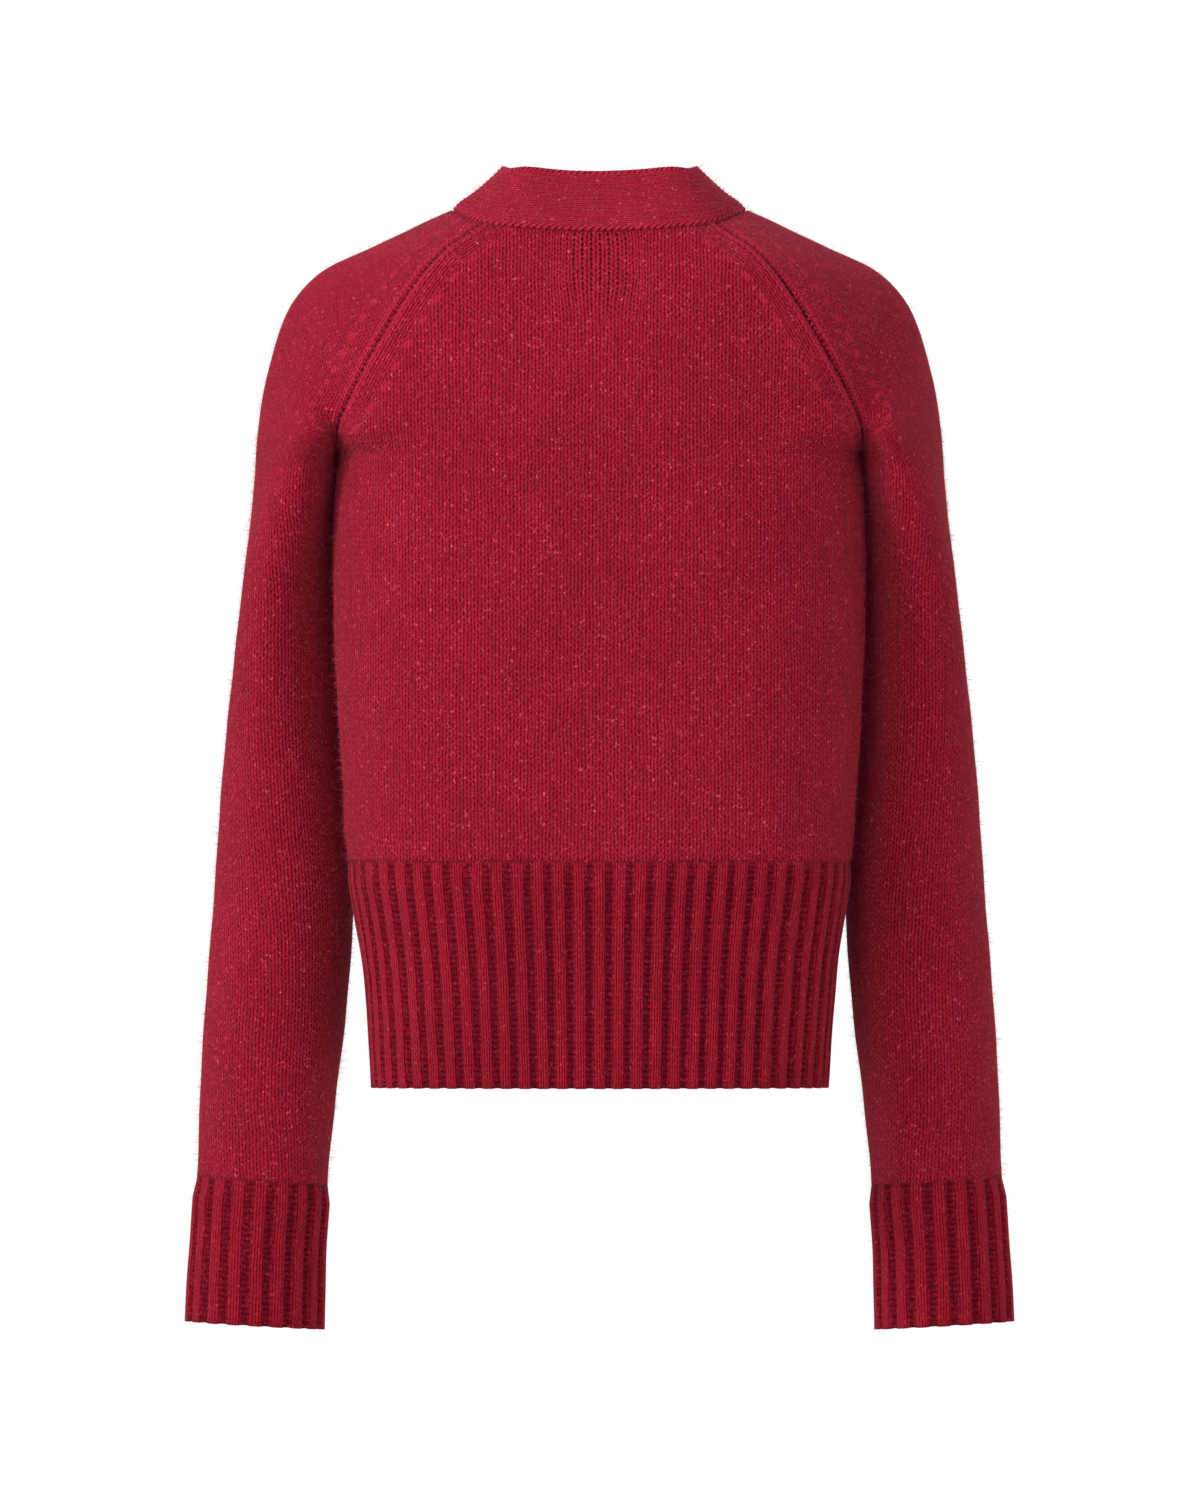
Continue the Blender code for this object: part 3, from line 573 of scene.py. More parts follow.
# Sizes of a stitch, and of the grids that carry the shells
STITCH_WIDTH = 0.0043
STITCH_HEIGHT = 0.0034
ROW_STEP = 0.0040
YOKE_STEPS = 46
SEAM_COLUMNS = 14
SEAM_SHARE = 0.07
PLAIN_COLUMNS = 84
FRONT_PLAIN_COLUMNS = 34
SLEEVE_PLAIN_COLUMNS = 72
RIB_SAMPLES = 14
RIB_ROWS = 34
FAR_FROM_SEAM = 60.0

# Relief of the cloth: beside the raglan seams, in its hang and over the shoulders
GROOVE_DEPTH = 0.0007
GROOVE_WIDTH = 0.0015
RIDGE_RISE = 0.0007
RIDGE_AT = 0.0042
RIDGE_WIDTH = 0.0016
WAVE_DEPTH = 0.0007
SHOULDER_RISE = 0.0020
SHOULDER_FROM = (0.072, 0.090)
SHOULDER_TO = (0.094, 0.124)
SHOULDER_HEIGHT = (-0.055, -0.015)

# A panel as built: its outer points, directions, stitch coordinates, seam distance in
# stitches and share of purl
Cloth = namedtuple("Cloth", "points out across along seam purl")


def steps_between(high, low, step):
    """Drops from `high` to `low`, both included, in even steps of about `step`."""
    return np.linspace(high, low, max(2, round((high - low) / step) + 1))


def seam_shares(plain, both=True):
    """Shares across a panel, closer together beside its raglan seams."""
    near = np.linspace(0.0, SEAM_SHARE, SEAM_COLUMNS + 1)
    far = 1.0 - SEAM_SHARE if both else 1.0
    middle = np.linspace(SEAM_SHARE, far, plain + 1)
    shares = [near[:-1], middle]
    if both:
        shares.append(1.0 - near[-2::-1])
    return np.concatenate(shares)


def row_lengths(points):
    """Distance of each grid point from the first one of its row."""
    steps = np.linalg.norm(np.diff(points, axis=1), axis=2)
    start = np.zeros((len(points), 1))
    return np.concatenate([start, np.cumsum(steps, axis=1)], axis=1)


def column_lengths(points, column):
    """Distance of each row from the lowest one, along one column."""
    steps = np.linalg.norm(np.diff(points[:, column], axis=0), axis=1)
    return np.concatenate([[0.0], np.cumsum(steps)])


def soft_step(low, high, values):
    u = np.clip((values - low) / (high - low), 0.0, 1.0)
    return u * u * (3 - 2 * u)


def shoulders(points):
    """The cloth fuller over the shoulders beside the neck, at the same places in every piece."""
    x, z = np.abs(points[..., 0]), points[..., 2]
    rise = SHOULDER_RISE * soft_step(*SHOULDER_FROM, x) * (1.0 - soft_step(*SHOULDER_TO, x))
    raised = points.copy()
    raised[..., 2] += rise * soft_step(*SHOULDER_HEIGHT, z)
    return raised


def waves(points):
    """The uneven hang of soft cloth, the same on both sides of a seam."""
    # The factors are waves per metre, times two pi, and the last numbers only shift them
    x, y, z = np.moveaxis(points, -1, 0)
    wide = np.sin(31 * x + 17 * z + 1.3) * np.sin(23 * z - 19 * y + 0.4)
    small = np.sin(83 * x - 47 * z + 2.1) * np.sin(71 * z + 59 * y)
    return WAVE_DEPTH * (wide + 0.35 * small)


def seam_relief(distance, weight, ridge):
    """The groove at a raglan seam and the raised edge beside it."""
    groove = -GROOVE_DEPTH * np.exp(-((distance / GROOVE_WIDTH) ** 2))
    edge = ridge * RIDGE_RISE * np.exp(-(((distance - RIDGE_AT) / RIDGE_WIDTH) ** 2))
    return weight * (groove + edge)


def plain_cloth(points, out, across, seam_distance, yoke_from, ridge):
    """A knitted panel: `seam_distance` is in metres, and counts in the rows from `yoke_from` up."""
    rows = len(points)
    weight = np.clip((np.arange(rows) - yoke_from + 3) / 6.0, 0.0, 1.0)[:, None]
    along = column_lengths(points, points.shape[1] // 2)[:, None]
    lift = waves(points) + seam_relief(seam_distance, weight, ridge)
    seam = seam_distance / STITCH_WIDTH + FAR_FROM_SEAM * (1.0 - weight)
    return Cloth(
        shoulders(points + lift[..., None] * out),
        out,
        across / STITCH_WIDTH,
        along / STITCH_HEIGHT + 0 * across,
        seam,
        0 * across,
    )


def turned_cloth(cloth):
    """The same panel on the wearer's right."""
    return Cloth(
        turned_over(cloth.points),
        turned_over(cloth.out),
        -cloth.across[:, ::-1],
        cloth.along[:, ::-1],
        cloth.seam[:, ::-1],
        cloth.purl[:, ::-1],
    )


def rib_phases(count):
    return np.linspace(0.0, count, count * RIB_SAMPLES + 1)


# Where the shell of a rib rises and falls, as shares of its pitch
RIB_UP = (0.10, 0.30)
RIB_DOWN = (0.70, 0.90)
RIB_WALES = 3.0
RIB_FADE_ROWS = 3
STRAND_RISE = 0.0003
SCALLOP = 0.0003


def ribbed_cloth(rows, out, count):
    """Ribs raised over the plain grid of a hem or cuff, fading out in its top rows."""
    phase = rib_phases(count)
    share = phase - np.floor(phase)
    raised = soft_step(*RIB_UP, share) * (1.0 - soft_step(*RIB_DOWN, share))
    wale = (share - RIB_UP[0]) / (RIB_DOWN[1] - RIB_UP[0]) * RIB_WALES
    strand = STRAND_RISE * raised * np.abs(np.sin(math.pi * wale))
    fade = np.clip((len(rows) - 1 - np.arange(len(rows))) / RIB_FADE_ROWS, 0.0, 1.0)[:, None]
    lift = fade * (RIB_RAISE * raised + strand) + waves(rows)
    across = np.floor(phase) * (RIB_WALES + 1) + np.clip(wale, 0.0, RIB_WALES)
    along = column_lengths(rows, rows.shape[1] // 2)[:, None] / STITCH_HEIGHT
    plain = np.zeros(rows.shape[:2])
    rows = rows.copy()
    rows[0, :, 2] -= SCALLOP * raised
    return Cloth(
        rows + lift[..., None] * out,
        out,
        plain + across,
        plain + along,
        plain + FAR_FROM_SEAM,
        plain + 1.0 - raised,
    )


def add_map(mesh, name, first, second):
    """A UV map from two values for each vertex."""
    corners = np.empty(len(mesh.loops), dtype=np.int32)
    mesh.loops.foreach_get("vertex_index", corners)
    values = np.stack([first.reshape(-1)[corners], second.reshape(-1)[corners]], axis=1)
    mesh.uv_layers.new(name=name).data.foreach_set("uv", values.astype(np.float32).reshape(-1))


def placed(name, mesh, node=None):
    """An object on the cardigan's body, which may stand for one of the solids."""
    item = bpy.data.objects.new(name, mesh)
    bpy.context.scene.collection.objects.link(item)
    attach(item, "root")
    if node:
        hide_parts(node)
    return item


def shell_faces(rows, columns):
    """Quads of an outer grid, an inner one behind it and the rim between them."""
    index = np.arange(rows * columns).reshape(rows, columns)
    quads = np.stack([index[:-1, :-1], index[:-1, 1:], index[1:, 1:], index[1:, :-1]], axis=-1)
    outer = quads.reshape(-1, 4)
    layer = rows * columns
    border = np.concatenate([index[0, :-1], index[:-1, -1], index[-1, :0:-1], index[:0:-1, 0]])
    following = np.roll(border, -1)
    rim = np.stack([following, border, border + layer, following + layer], axis=1)
    return np.concatenate([outer, outer[:, ::-1] + layer, rim]), len(outer)


def shell(name, cloth, thickness, materials, node):
    """A knitted shell for one panel. It stands for the panel's solid."""
    rows, columns = cloth.points.shape[:2]
    outer = cloth.points
    inner = outer - thickness * cloth.out
    faces, outside = shell_faces(rows, columns)
    mesh = bpy.data.meshes.new(name)
    both = np.concatenate([outer.reshape(-1, 3), inner.reshape(-1, 3)])
    mesh.from_pydata(both, [], faces.tolist())
    for material in materials:
        mesh.materials.append(material)
    inside = np.zeros(len(faces), dtype=np.int32)
    inside[outside : 2 * outside] = 1
    mesh.polygons.foreach_set("material_index", inside)
    twice = [np.concatenate([value.reshape(-1)] * 2) for value in cloth[2:]]
    add_map(mesh, "stitches", twice[0], twice[1])
    add_map(mesh, "seams", twice[2], twice[3])
    joined = bmesh.new()
    joined.from_mesh(mesh)
    bmesh.ops.remove_doubles(joined, verts=joined.verts, dist=0.000002)
    joined.to_mesh(mesh)
    joined.free()
    mesh.shade_smooth()
    return placed(name, mesh, node)


# Knit materials


class Field:
    """A value that varies over the surface. It adds up and multiplies like a number."""

    def __init__(self, graph, socket):
        self.graph = graph
        self.socket = socket

    def __add__(self, other):
        return self.graph.math("ADD", self, other)

    def __sub__(self, other):
        return self.graph.math("SUBTRACT", self, other)

    def __rsub__(self, other):
        return self.graph.math("SUBTRACT", other, self)

    def __mul__(self, other):
        return self.graph.math("MULTIPLY", self, other)

    def __truediv__(self, other):
        return self.graph.math("DIVIDE", self, other)

    def __abs__(self):
        return self.graph.math("ABSOLUTE", self)

    __radd__ = __add__
    __rmul__ = __mul__


class Graph:
    """A material whose shader nodes are added one at a time."""

    def __init__(self, name):
        self.material = bpy.data.materials.new(name)
        self.material.use_nodes = True
        self.tree = self.material.node_tree
        self.shader = self.tree.nodes["Principled BSDF"]

    def put(self, socket, value):
        if isinstance(value, Field):
            self.tree.links.new(value.socket, socket)
        elif socket.type == "RGBA":
            socket.default_value = (*value, 1.0)
        else:
            socket.default_value = value

    def node(self, kind, inputs, output=0, **settings):
        """One output of a new node."""
        made = self.tree.nodes.new("ShaderNode" + kind)
        for key, value in settings.items():
            setattr(made, key, value)
        for key, value in inputs.items():
            self.put(made.inputs[key], value)
        return Field(self, made.outputs[output])

    def math(self, operation, *values, clamp=False):
        return self.node("Math", dict(enumerate(values)), operation=operation, use_clamp=clamp)

    def ramp(self, value, low, high, to_low=0.0, to_high=1.0):
        """A smooth step of `value` between low and high."""
        inputs = {"Value": value, "From Min": low, "From Max": high, "To Min": to_low, "To Max": to_high}
        return self.node("MapRange", inputs, interpolation_type="SMOOTHSTEP")

    def mix(self, factor, first, second):
        return self.node("Mix", {0: factor, 2: first, 3: second})

    def tint(self, factor, first, second):
        return self.node("Mix", {0: factor, 6: first, 7: second}, 2, data_type="RGBA")

    def apart(self, vector):
        """The x, y and z of a vector."""
        return [self.node("SeparateXYZ", {0: vector}, axis) for axis in "XYZ"]

    def uv(self, name):
        return self.apart(self.node("UVMap", {}, uv_map=name))[:2]

    def join(self, x, y):
        return self.node("CombineXYZ", {"X": x, "Y": y})

    def place(self):
        return self.node("TexCoord", {}, "Object")

    def noise(self, vector, scale, detail=2.0, rough=0.5, distortion=0.0):
        inputs = {"Vector": vector, "Scale": scale, "Detail": detail, "Roughness": rough,
                  "Distortion": distortion}
        return self.node("TexNoise", inputs, "Fac")

    def shade(self, inputs):
        """Sets inputs of the material's own shader."""
        for key, value in inputs.items():
            self.put(self.shader.inputs[key], value)

    def bump(self, height, strength, distance):
        inputs = {"Height": height, "Strength": strength, "Distance": distance}
        self.shade({"Normal": self.node("Bump", inputs)})


Yarn = namedtuple("Yarn", "deep body light fleck")
LEG_SLOPE = 0.75
KNIT_RELIEF = 0.0010
RECESS_SHADE = 0.46
EDGE_WALES = 4.0
MARK_WALE = 4.6
MARK_ROWS = 3.6
# Painted shade: the near-black seen through holes in the knit
HOLE_SHADE = (0.018, 0.0008, 0.002)

# The patch of looser stitches at the centre back
LOOSE_HALF_WIDTH = 0.034
LOOSE_TOP = 0.002
LOOSE_BOTTOM = -0.062


def loose_patch(g, place):
    """How loose the stitches are: 1 in the patch at the centre back and 0 away from it."""
    x, y, z = g.apart(place)
    across = g.ramp(abs(x), LOOSE_HALF_WIDTH, 0.35 * LOOSE_HALF_WIDTH)
    down = g.ramp(z, LOOSE_BOTTOM, LOOSE_BOTTOM + 0.030) * g.ramp(z, LOOSE_TOP, LOOSE_TOP - 0.012)
    return across * down * g.math("GREATER_THAN", y, 0.0)


def knit_material(name, colours, leg_share=0.62, inside=False, patch=False, marks=False, chain=False):
    """Knit from its stitch coordinates: V shapes on the outside, purl bars on the inside."""
    g = Graph(name)
    u, v = g.uv("stitches")
    rows = u
    seam, purl = g.uv("seams")
    place = g.place()
    if patch:
        loose = loose_patch(g, place)
        u = u * (1.0 - 0.18 * loose)
    u = g.mix(g.math("LESS_THAN", seam, EDGE_WALES), u, seam)
    u = u + 0.45 * (g.noise(place, 48.0) - 0.5)
    v = v + 1.1 * (g.noise(place, 150.0) - 0.5)

    side = abs(2.0 * g.math("FRACT", u) - 1.0)
    step = g.math("FRACT", v - LEG_SLOPE * side)
    leg = g.math("SINE", math.pi * step)
    column = g.math("POWER", g.math("SINE", math.pi * side, clamp=True), 0.8)
    stocking = (0.08 + 0.92 * column) * (1.0 - leg_share + leg_share * leg)
    bow = g.math("COSINE", 2 * math.pi * u)
    purls = abs(g.math("SINE", math.pi * v)) * (0.68 + 0.32 * bow)
    height = purls if inside else g.mix(purl, stocking, 0.45 * purls)

    fuzz = g.noise(place, 560.0, 4.0, 0.65, 0.8)
    strands = g.noise(g.join(2.0 * u, v), 1.7, 3.0, 0.6, 0.6)
    streaks = g.noise(g.join(1.1 * u, 0.14 * v), 1.0)
    broad = g.noise(place, 16.0)
    # The yarn goes from its deep colour to its body colour as the stitch relief rises: painted shade in
    # the gaps between stitches. The last tint is painted shade in the rib recesses.
    shades = (
        (g.ramp(height + 0.5 * (fuzz - 0.5), 0.08, 0.66), colours.body),
        (g.ramp(strands, 0.50, 0.74, 0.0, 0.75), colours.light),
        (g.ramp(strands, 0.42, 0.26, 0.0, 0.55), colours.deep),
        (g.ramp(fuzz, 0.58, 0.72, 0.0, 0.80), colours.fleck),
        (g.ramp(streaks, 0.52, 0.36, 0.0, 0.16), colours.deep),
        (g.ramp(broad, 0.38, 0.62, 0.0, 0.12), colours.deep),
        (RECESS_SHADE * purl, colours.deep),
    )
    colour = colours.deep
    for share, shade in shades:
        colour = g.tint(share, colour, shade)

    if marks:
        often = g.ramp(abs(g.math("FRACT", v / MARK_ROWS) - 0.5), 0.30, 0.14)
        mark = often * g.ramp(abs(seam - MARK_WALE), 0.75, 0.30)
        # Painted shade in the small holes along the raglan seam
        hole = g.ramp(seam, 0.46, 0.12) * g.ramp(abs(g.math("FRACT", v) - 0.5), 0.16, 0.36)
        # Painted highlight on the raised edge beside the seam, over the stitches' legs
        ridge = g.ramp(abs(seam - 0.90), 0.55, 0.20, 0.0, 0.62)
        colour = g.tint(0.50 * mark, colour, colours.light)
        colour = g.tint(0.85 * hole, colour, HOLE_SHADE)
        colour = g.tint(ridge * leg, colour, colours.light)
        height = height + 0.5 * mark - hole
    if chain:
        middle = BAND_ROWS / 2
        rim = g.ramp(abs(rows - middle), middle - 1.25, middle - 0.85)
        # The links of the chain edge are painted darker between them and lighter on them: painted shade
        # and painted highlight
        link = g.ramp(abs(g.math("FRACT", 0.80 * v + 0.9 * rows) - 0.5), 0.46, 0.10)
        colour = g.tint(0.50 * rim, colour, g.tint(link, colours.deep, colours.light))
        height = g.mix(rim, height, 1.1 * link)
    if patch:
        # Painted shade in the open gaps between the loose stitches
        hole = loose * g.ramp(side, 0.60, 0.90) * g.ramp(abs(step - 0.5), 0.14, 0.32)
        hole = hole * g.ramp(broad, 0.30, 0.55, 0.55, 0.95)
        colour = g.tint(hole, colour, HOLE_SHADE)
        height = height - hole

    g.shade({
        "Base Color": colour,
        "Roughness": g.ramp(fuzz, 0.3, 0.7, 0.80, 0.95),
        "Specular IOR Level": 0.02,
        "Sheen Weight": 0.07,
        "Sheen Roughness": 0.30,
        "Sheen Tint": (1.0, 0.30, 0.40),
    })
    g.bump(height + 0.35 * fuzz + 0.30 * strands, 1.0, KNIT_RELIEF)
    return g.material


# Loose fibres

Hair = namedtuple("Hair", "length least width per_m2 bent")
HAIRS = (
    Hair(0.0022, 0.0010, 0.00015, 400000, False),
    Hair(0.0050, 0.0025, 0.00011, 65000, True),
)
RIB_HAIR_SHARE = 0.4
HAIR_ROOT_DEPTH = 0.0004


def fibre_material():
    g = Graph("loose_fibres")
    shade = g.noise(g.place(), 240.0)
    g.shade({
        "Base Color": g.tint(shade, (0.26, 0.0085, 0.023), (0.49, 0.058, 0.098)),
        "Roughness": 0.9,
        "Specular IOR Level": 0.05,
    })
    return g.material


def hair_points(cloth, hair, draw):
    """Corners of short strands that stand out of a panel's outside, some of them bent."""
    points, out = cloth.points, cloth.out
    corners = (points[:-1, :-1], points[:-1, 1:], points[1:, :-1])
    cells = np.linalg.norm(np.cross(corners[1] - corners[0], corners[2] - corners[0]), axis=-1).reshape(-1)
    count = int(cells.sum() * hair.per_m2)
    chosen = draw.choice(len(cells), size=count, p=cells / cells.sum())
    row, column = np.divmod(chosen, points.shape[1] - 1)
    corner = points[row, column]
    right = draw.random((count, 1)) * (points[row, column + 1] - corner)
    start = corner + right + draw.random((count, 1)) * (points[row + 1, column] - corner)
    normal = out[row, column]
    aside = unit(np.cross(normal, unit(draw.normal(size=(count, 3)))))
    lift = draw.uniform(0.2, 1.0, (count, 1))
    length = hair.least + hair.length * draw.random((count, 1)) ** 1.5
    heading = unit(lift * normal + (1.15 - lift) * aside)
    width = hair.width * draw.uniform(0.6, 1.2, (count, 1)) * unit(np.cross(heading, normal) + 0.01)
    start = start - HAIR_ROOT_DEPTH * normal
    if not hair.bent:
        return np.stack([start - width / 2, start + width / 2, start + length * heading], axis=1)
    bend = unit(heading + 0.5 * unit(np.cross(normal, aside)) * draw.normal(size=(count, 1)))
    middle = start + 0.5 * length * heading
    end = middle + 0.5 * length * bend
    side = width / 2
    strip = [start - side, start + side, middle + side, middle - side, start - side, middle + side]
    return np.stack([*strip, middle - side, middle + side, end], axis=1).reshape(-1, 3, 3)


def fibres(name, cloth, material, slot_name, seed):
    """A panel's loose fibres, one triangle for each short one and three for each long one."""
    draw = np.random.default_rng(seed)
    share = RIB_HAIR_SHARE if slot_name == "rib_red" else 1.0
    hairs = [hair._replace(per_m2=hair.per_m2 * share, length=hair.length * share**0.5)
             for hair in HAIRS]
    corners = np.concatenate([hair_points(cloth, hair, draw) for hair in hairs]).reshape(-1, 3)
    mesh = bpy.data.meshes.new(name)
    mesh.from_pydata(corners, [], np.arange(len(corners)).reshape(-1, 3))
    mesh.materials.append(material)
    return placed(name, mesh)


# Panels


def fine_body():
    """Drops of the fine rows below the underarm, without the underarm's own row."""
    return steps_between(BODY_DROP, TORSO[0].drop, ROW_STEP)[:-1]


def centre_across(points):
    """Distance of each point from the middle of its row."""
    along = row_lengths(points)
    return along - along[:, points.shape[1] // 2][:, None]


def make_back(yoke):
    drops = fine_body()
    points = creased(back_grid(drops, seam_shares(PLAIN_COLUMNS), yoke))
    across = centre_across(points)
    ends = np.abs(across[:, :1])
    return points, across, ends - np.abs(across), len(drops)


def make_front(yoke, side):
    drops = fine_body()
    points = creased(front_grid(drops, seam_shares(FRONT_PLAIN_COLUMNS, both=False), side, yoke))
    along = row_lengths(points)
    return points, along[:, -1:] - along, along, len(drops)


def make_sleeve(yoke):
    drops = steps_between(SLEEVE_DROP, ARM[0].drop, ROW_STEP)[:-1]
    shares = seam_shares(SLEEVE_PLAIN_COLUMNS)
    count = 2 * FINE
    rows = [at_shares(sleeve_ring(drop, count), shares) for drop in drops]
    rows += [at_shares(sleeve_yoke_row(share, count), shares) for share in yoke]
    points = creased(np.array(rows))
    across = centre_across(points)
    along = row_lengths(points)
    return points, across, np.minimum(along, along[:, -1:] - along), len(drops)


def blended_normals(points, rings):
    """Closed rings below and open arcs above, as on the sleeve."""
    normals = grid_normals(points)
    normals[:rings] = grid_normals(points[: rings + 1], closed=True)[:rings]
    return normals


def joined_normals(back_out, sleeve_out, front_out, yoke, starts):
    """Shared directions along the raglan and side seams, for the wearer's left half."""
    b, s, f = starts
    share_normals(back_out[b:, -1], sleeve_out[s:, 0])
    share_normals(front_out[f:, 0], sleeve_out[s:, -1])
    for index, share in enumerate(yoke):
        smooth = ease(0.0, CREASE_END, share)
        for seam in (back_out[b:, -1], sleeve_out[s:, 0], front_out[f:, 0], sleeve_out[s:, -1]):
            seam[index] = unit(smooth * seam[index] + (1 - smooth) * np.array([0, 0, -1.0]))
    share_normals(back_out[:b, -1], front_out[:f, 0])
    back_out[:, 0] = mirrored(back_out[:, -1])


# The band and the buttons

BAND_STEP = 0.0018
BAND_FREE_SMOOTHING = 24
BAND_ROWS = 14
BAND_SAMPLES = 5
BAND_ROW_RISE = 0.00045
BAND_EDGE_RISE = 0.0006
BAND_ROUND_SHARE = 0.035
BAND_ROUND = 0.0018
BAND_BACK_POINTS = 15
BAND_BACK_ROUND = 0.0008
BAND_OVERLAP = 0.050
BAND_LIFT = 0.0007
BAND_SINK = 0.0012
BAND_FLUSH = (0.055, 0.085)
CHAIN_STEP = 0.0040
CORNER_OUT = 0.0030
CORNER_DROP = 0.0020
CORNER_AT = (0.048, 0.0575)
BUTTON_HOLE = 0.0011
BUTTON_HOLE_AT = 0.0021
BUTTON_LIFT = 0.0002
BUTTON_EDGE = 0.0012
THREAD_RADIUS = 0.00034
THREAD_ASIDE = 0.00035
THREAD_RISE = 0.0006
THREAD_DIP = 0.0022
SLIT_HALF_LENGTH = 0.0100
SLIT_HALF_WIDTH = 0.0016
SLIT_STITCH = 0.00022
SLIT_STRAND = 0.0006


def smooth_along(values, keys, fine):
    """Values between the keys on a smooth curve through them."""
    slopes = np.gradient(values, keys, axis=0)
    index = np.clip(np.searchsorted(keys, fine) - 1, 0, len(keys) - 2)
    span = (keys[index + 1] - keys[index])[:, None]
    u = (fine - keys[index])[:, None] / span
    low, high = values[index], values[index + 1]
    start = (1 + 2 * u) * (1 - u) ** 2 * low + u * u * (3 - 2 * u) * high
    return start + u * (1 - u) * span * ((1 - u) * slopes[index] - u * slopes[index + 1])


def band_profile():
    """Shares of the band's width and rises over the cloth, once round its section."""
    count = BAND_ROWS * BAND_SAMPLES
    share = np.linspace(0.0, 1.0, count + 1)
    row = share * BAND_ROWS
    rise = BAND_ROW_RISE * np.abs(np.sin(math.pi * row))
    fall = 1.0 - np.minimum(1.0, np.minimum(share, 1.0 - share) / BAND_ROUND_SHARE)
    rise = BAND_RISE + rise - BAND_ROUND * fall**2
    outer = np.stack([share, rise, row], axis=1)
    back_share = np.linspace(1.0, 0.0, BAND_BACK_POINTS)
    inner_rise = np.full(BAND_BACK_POINTS, BAND_RISE - BAND_THICKNESS)
    inner_rise[[0, -1]] += BAND_BACK_ROUND
    inner = np.stack([back_share, inner_rise, back_share * BAND_ROWS], axis=1)
    return outer, inner


def band_strip(name, frames, materials):
    """One knitted strip, from the right hem up round the neck and down to the left hem."""
    low = np.concatenate([mirrored(frames[1][0])[::-1], frames[0][0][1:]])
    across = np.concatenate([mirrored(frames[1][1])[::-1], frames[0][1][1:]])
    outward = np.concatenate([mirrored(frames[1][2])[::-1], frames[0][2][1:]])
    keys = np.concatenate([[0.0], np.cumsum(np.linalg.norm(np.diff(low, axis=0), axis=1))])
    fine = np.linspace(0.0, keys[-1], round(keys[-1] / BAND_STEP) + 1)
    low = smooth_along(low, keys, fine)
    across = unit(smooth_along(across, keys, fine))
    outward = unit(smooth_along(outward, keys, fine))
    free = low + BAND_WIDTH * across
    for _ in range(BAND_FREE_SMOOTHING):
        free[1:-1, 2] = (free[:-2, 2] + 2 * free[1:-1, 2] + free[2:, 2]) / 4
    aside = np.abs(free[:, 0])
    free[:, 0] += np.sign(free[:, 0]) * CORNER_OUT * soft_step(*CORNER_AT, aside)
    free[:, 2] -= CORNER_DROP * soft_step(*CORNER_AT, aside)
    across = unit(free - low)
    outer, inner = band_profile()
    section = np.concatenate([outer, inner])
    from_back = np.abs(fine - fine[-1] / 2)[:, None]
    loose = 1.0 - soft_step(*BAND_FLUSH, from_back)
    face = (np.arange(len(section)) < len(outer))[None]
    row = section[:, 2]
    rims = face * ((row < 1) | (row > BAND_ROWS - 1)) * np.abs(np.sin(math.pi * row))
    chain = 0.65 + 0.35 * np.cos(2 * math.pi * (fine[:, None] / CHAIN_STEP + 0.9 * row))
    share = section[None, :, 0] - face * BAND_OVERLAP * loose * (1.0 - section[None, :, 0])
    flush = BAND_SINK * face * np.exp(-((section[None, :, 0] / 0.10) ** 2)) * (1.0 - loose)
    rise = section[None, :, 1] + face * BAND_LIFT * loose + BAND_EDGE_RISE * rims * chain * loose - flush
    width = (BAND_GAP + share * BAND_WIDTH)[..., None]
    points = low[:, None] + width * across[:, None] + rise[..., None] * outward[:, None]
    points = shoulders(points + waves(points)[..., None] * outward[:, None])
    stations, around = points.shape[:2]
    index = np.arange(stations * around).reshape(stations, around)
    beside = np.roll(index, -1, axis=1)
    quads = np.stack([index[:-1], beside[:-1], beside[1:], index[1:]], axis=-1).reshape(-1, 4)
    mesh = bpy.data.meshes.new(name)
    ends = [index[0].tolist(), index[-1, ::-1].tolist()]
    mesh.from_pydata(points.reshape(-1, 3), [], quads.tolist() + ends)
    for material in materials:
        mesh.materials.append(material)
    inside = np.tile(np.arange(around) >= len(outer), stations - 1).astype(np.int32)
    mesh.polygons.foreach_set("material_index", np.concatenate([inside, [0, 0]]).astype(np.int32))
    rows = np.tile(row, stations)
    along = np.repeat(fine / STITCH_HEIGHT, around)
    add_map(mesh, "stitches", rows, along)
    add_map(mesh, "seams", np.full(len(rows), FAR_FROM_SEAM), np.zeros(len(rows)))
    mesh.shade_smooth()
    item = placed(name, mesh, "neck_band")
    face = Cloth(points[:, : len(outer)], np.repeat(outward[:, None], len(outer), axis=1),
                 None, None, None, None)
    return item, face


def finished(name, built):
    """A smooth mesh from a bmesh, its faces turned outwards."""
    bmesh.ops.recalc_face_normals(built, faces=built.faces)
    data = bpy.data.meshes.new(name)
    built.to_mesh(data)
    built.free()
    data.shade_smooth()
    return data


def turned(profile, steps):
    """A closed disc turned round +Z from (radius, height) pairs that start and end on the axis."""
    mesh = bmesh.new()
    rings = []
    for radius, height in profile[1:-1]:
        angles = [2 * math.pi * step / steps for step in range(steps)]
        places = [(radius * math.cos(angle), radius * math.sin(angle), height) for angle in angles]
        rings.append([mesh.verts.new(place) for place in places])
    first = mesh.verts.new((0, 0, profile[0][1]))
    last = mesh.verts.new((0, 0, profile[-1][1]))
    for step in range(steps):
        after = (step + 1) % steps
        mesh.faces.new((first, rings[0][step], rings[0][after]))
        mesh.faces.new((last, rings[-1][after], rings[-1][step]))
        for low, high in zip(rings, rings[1:]):
            mesh.faces.new((low[step], high[step], high[after], low[after]))
    return mesh


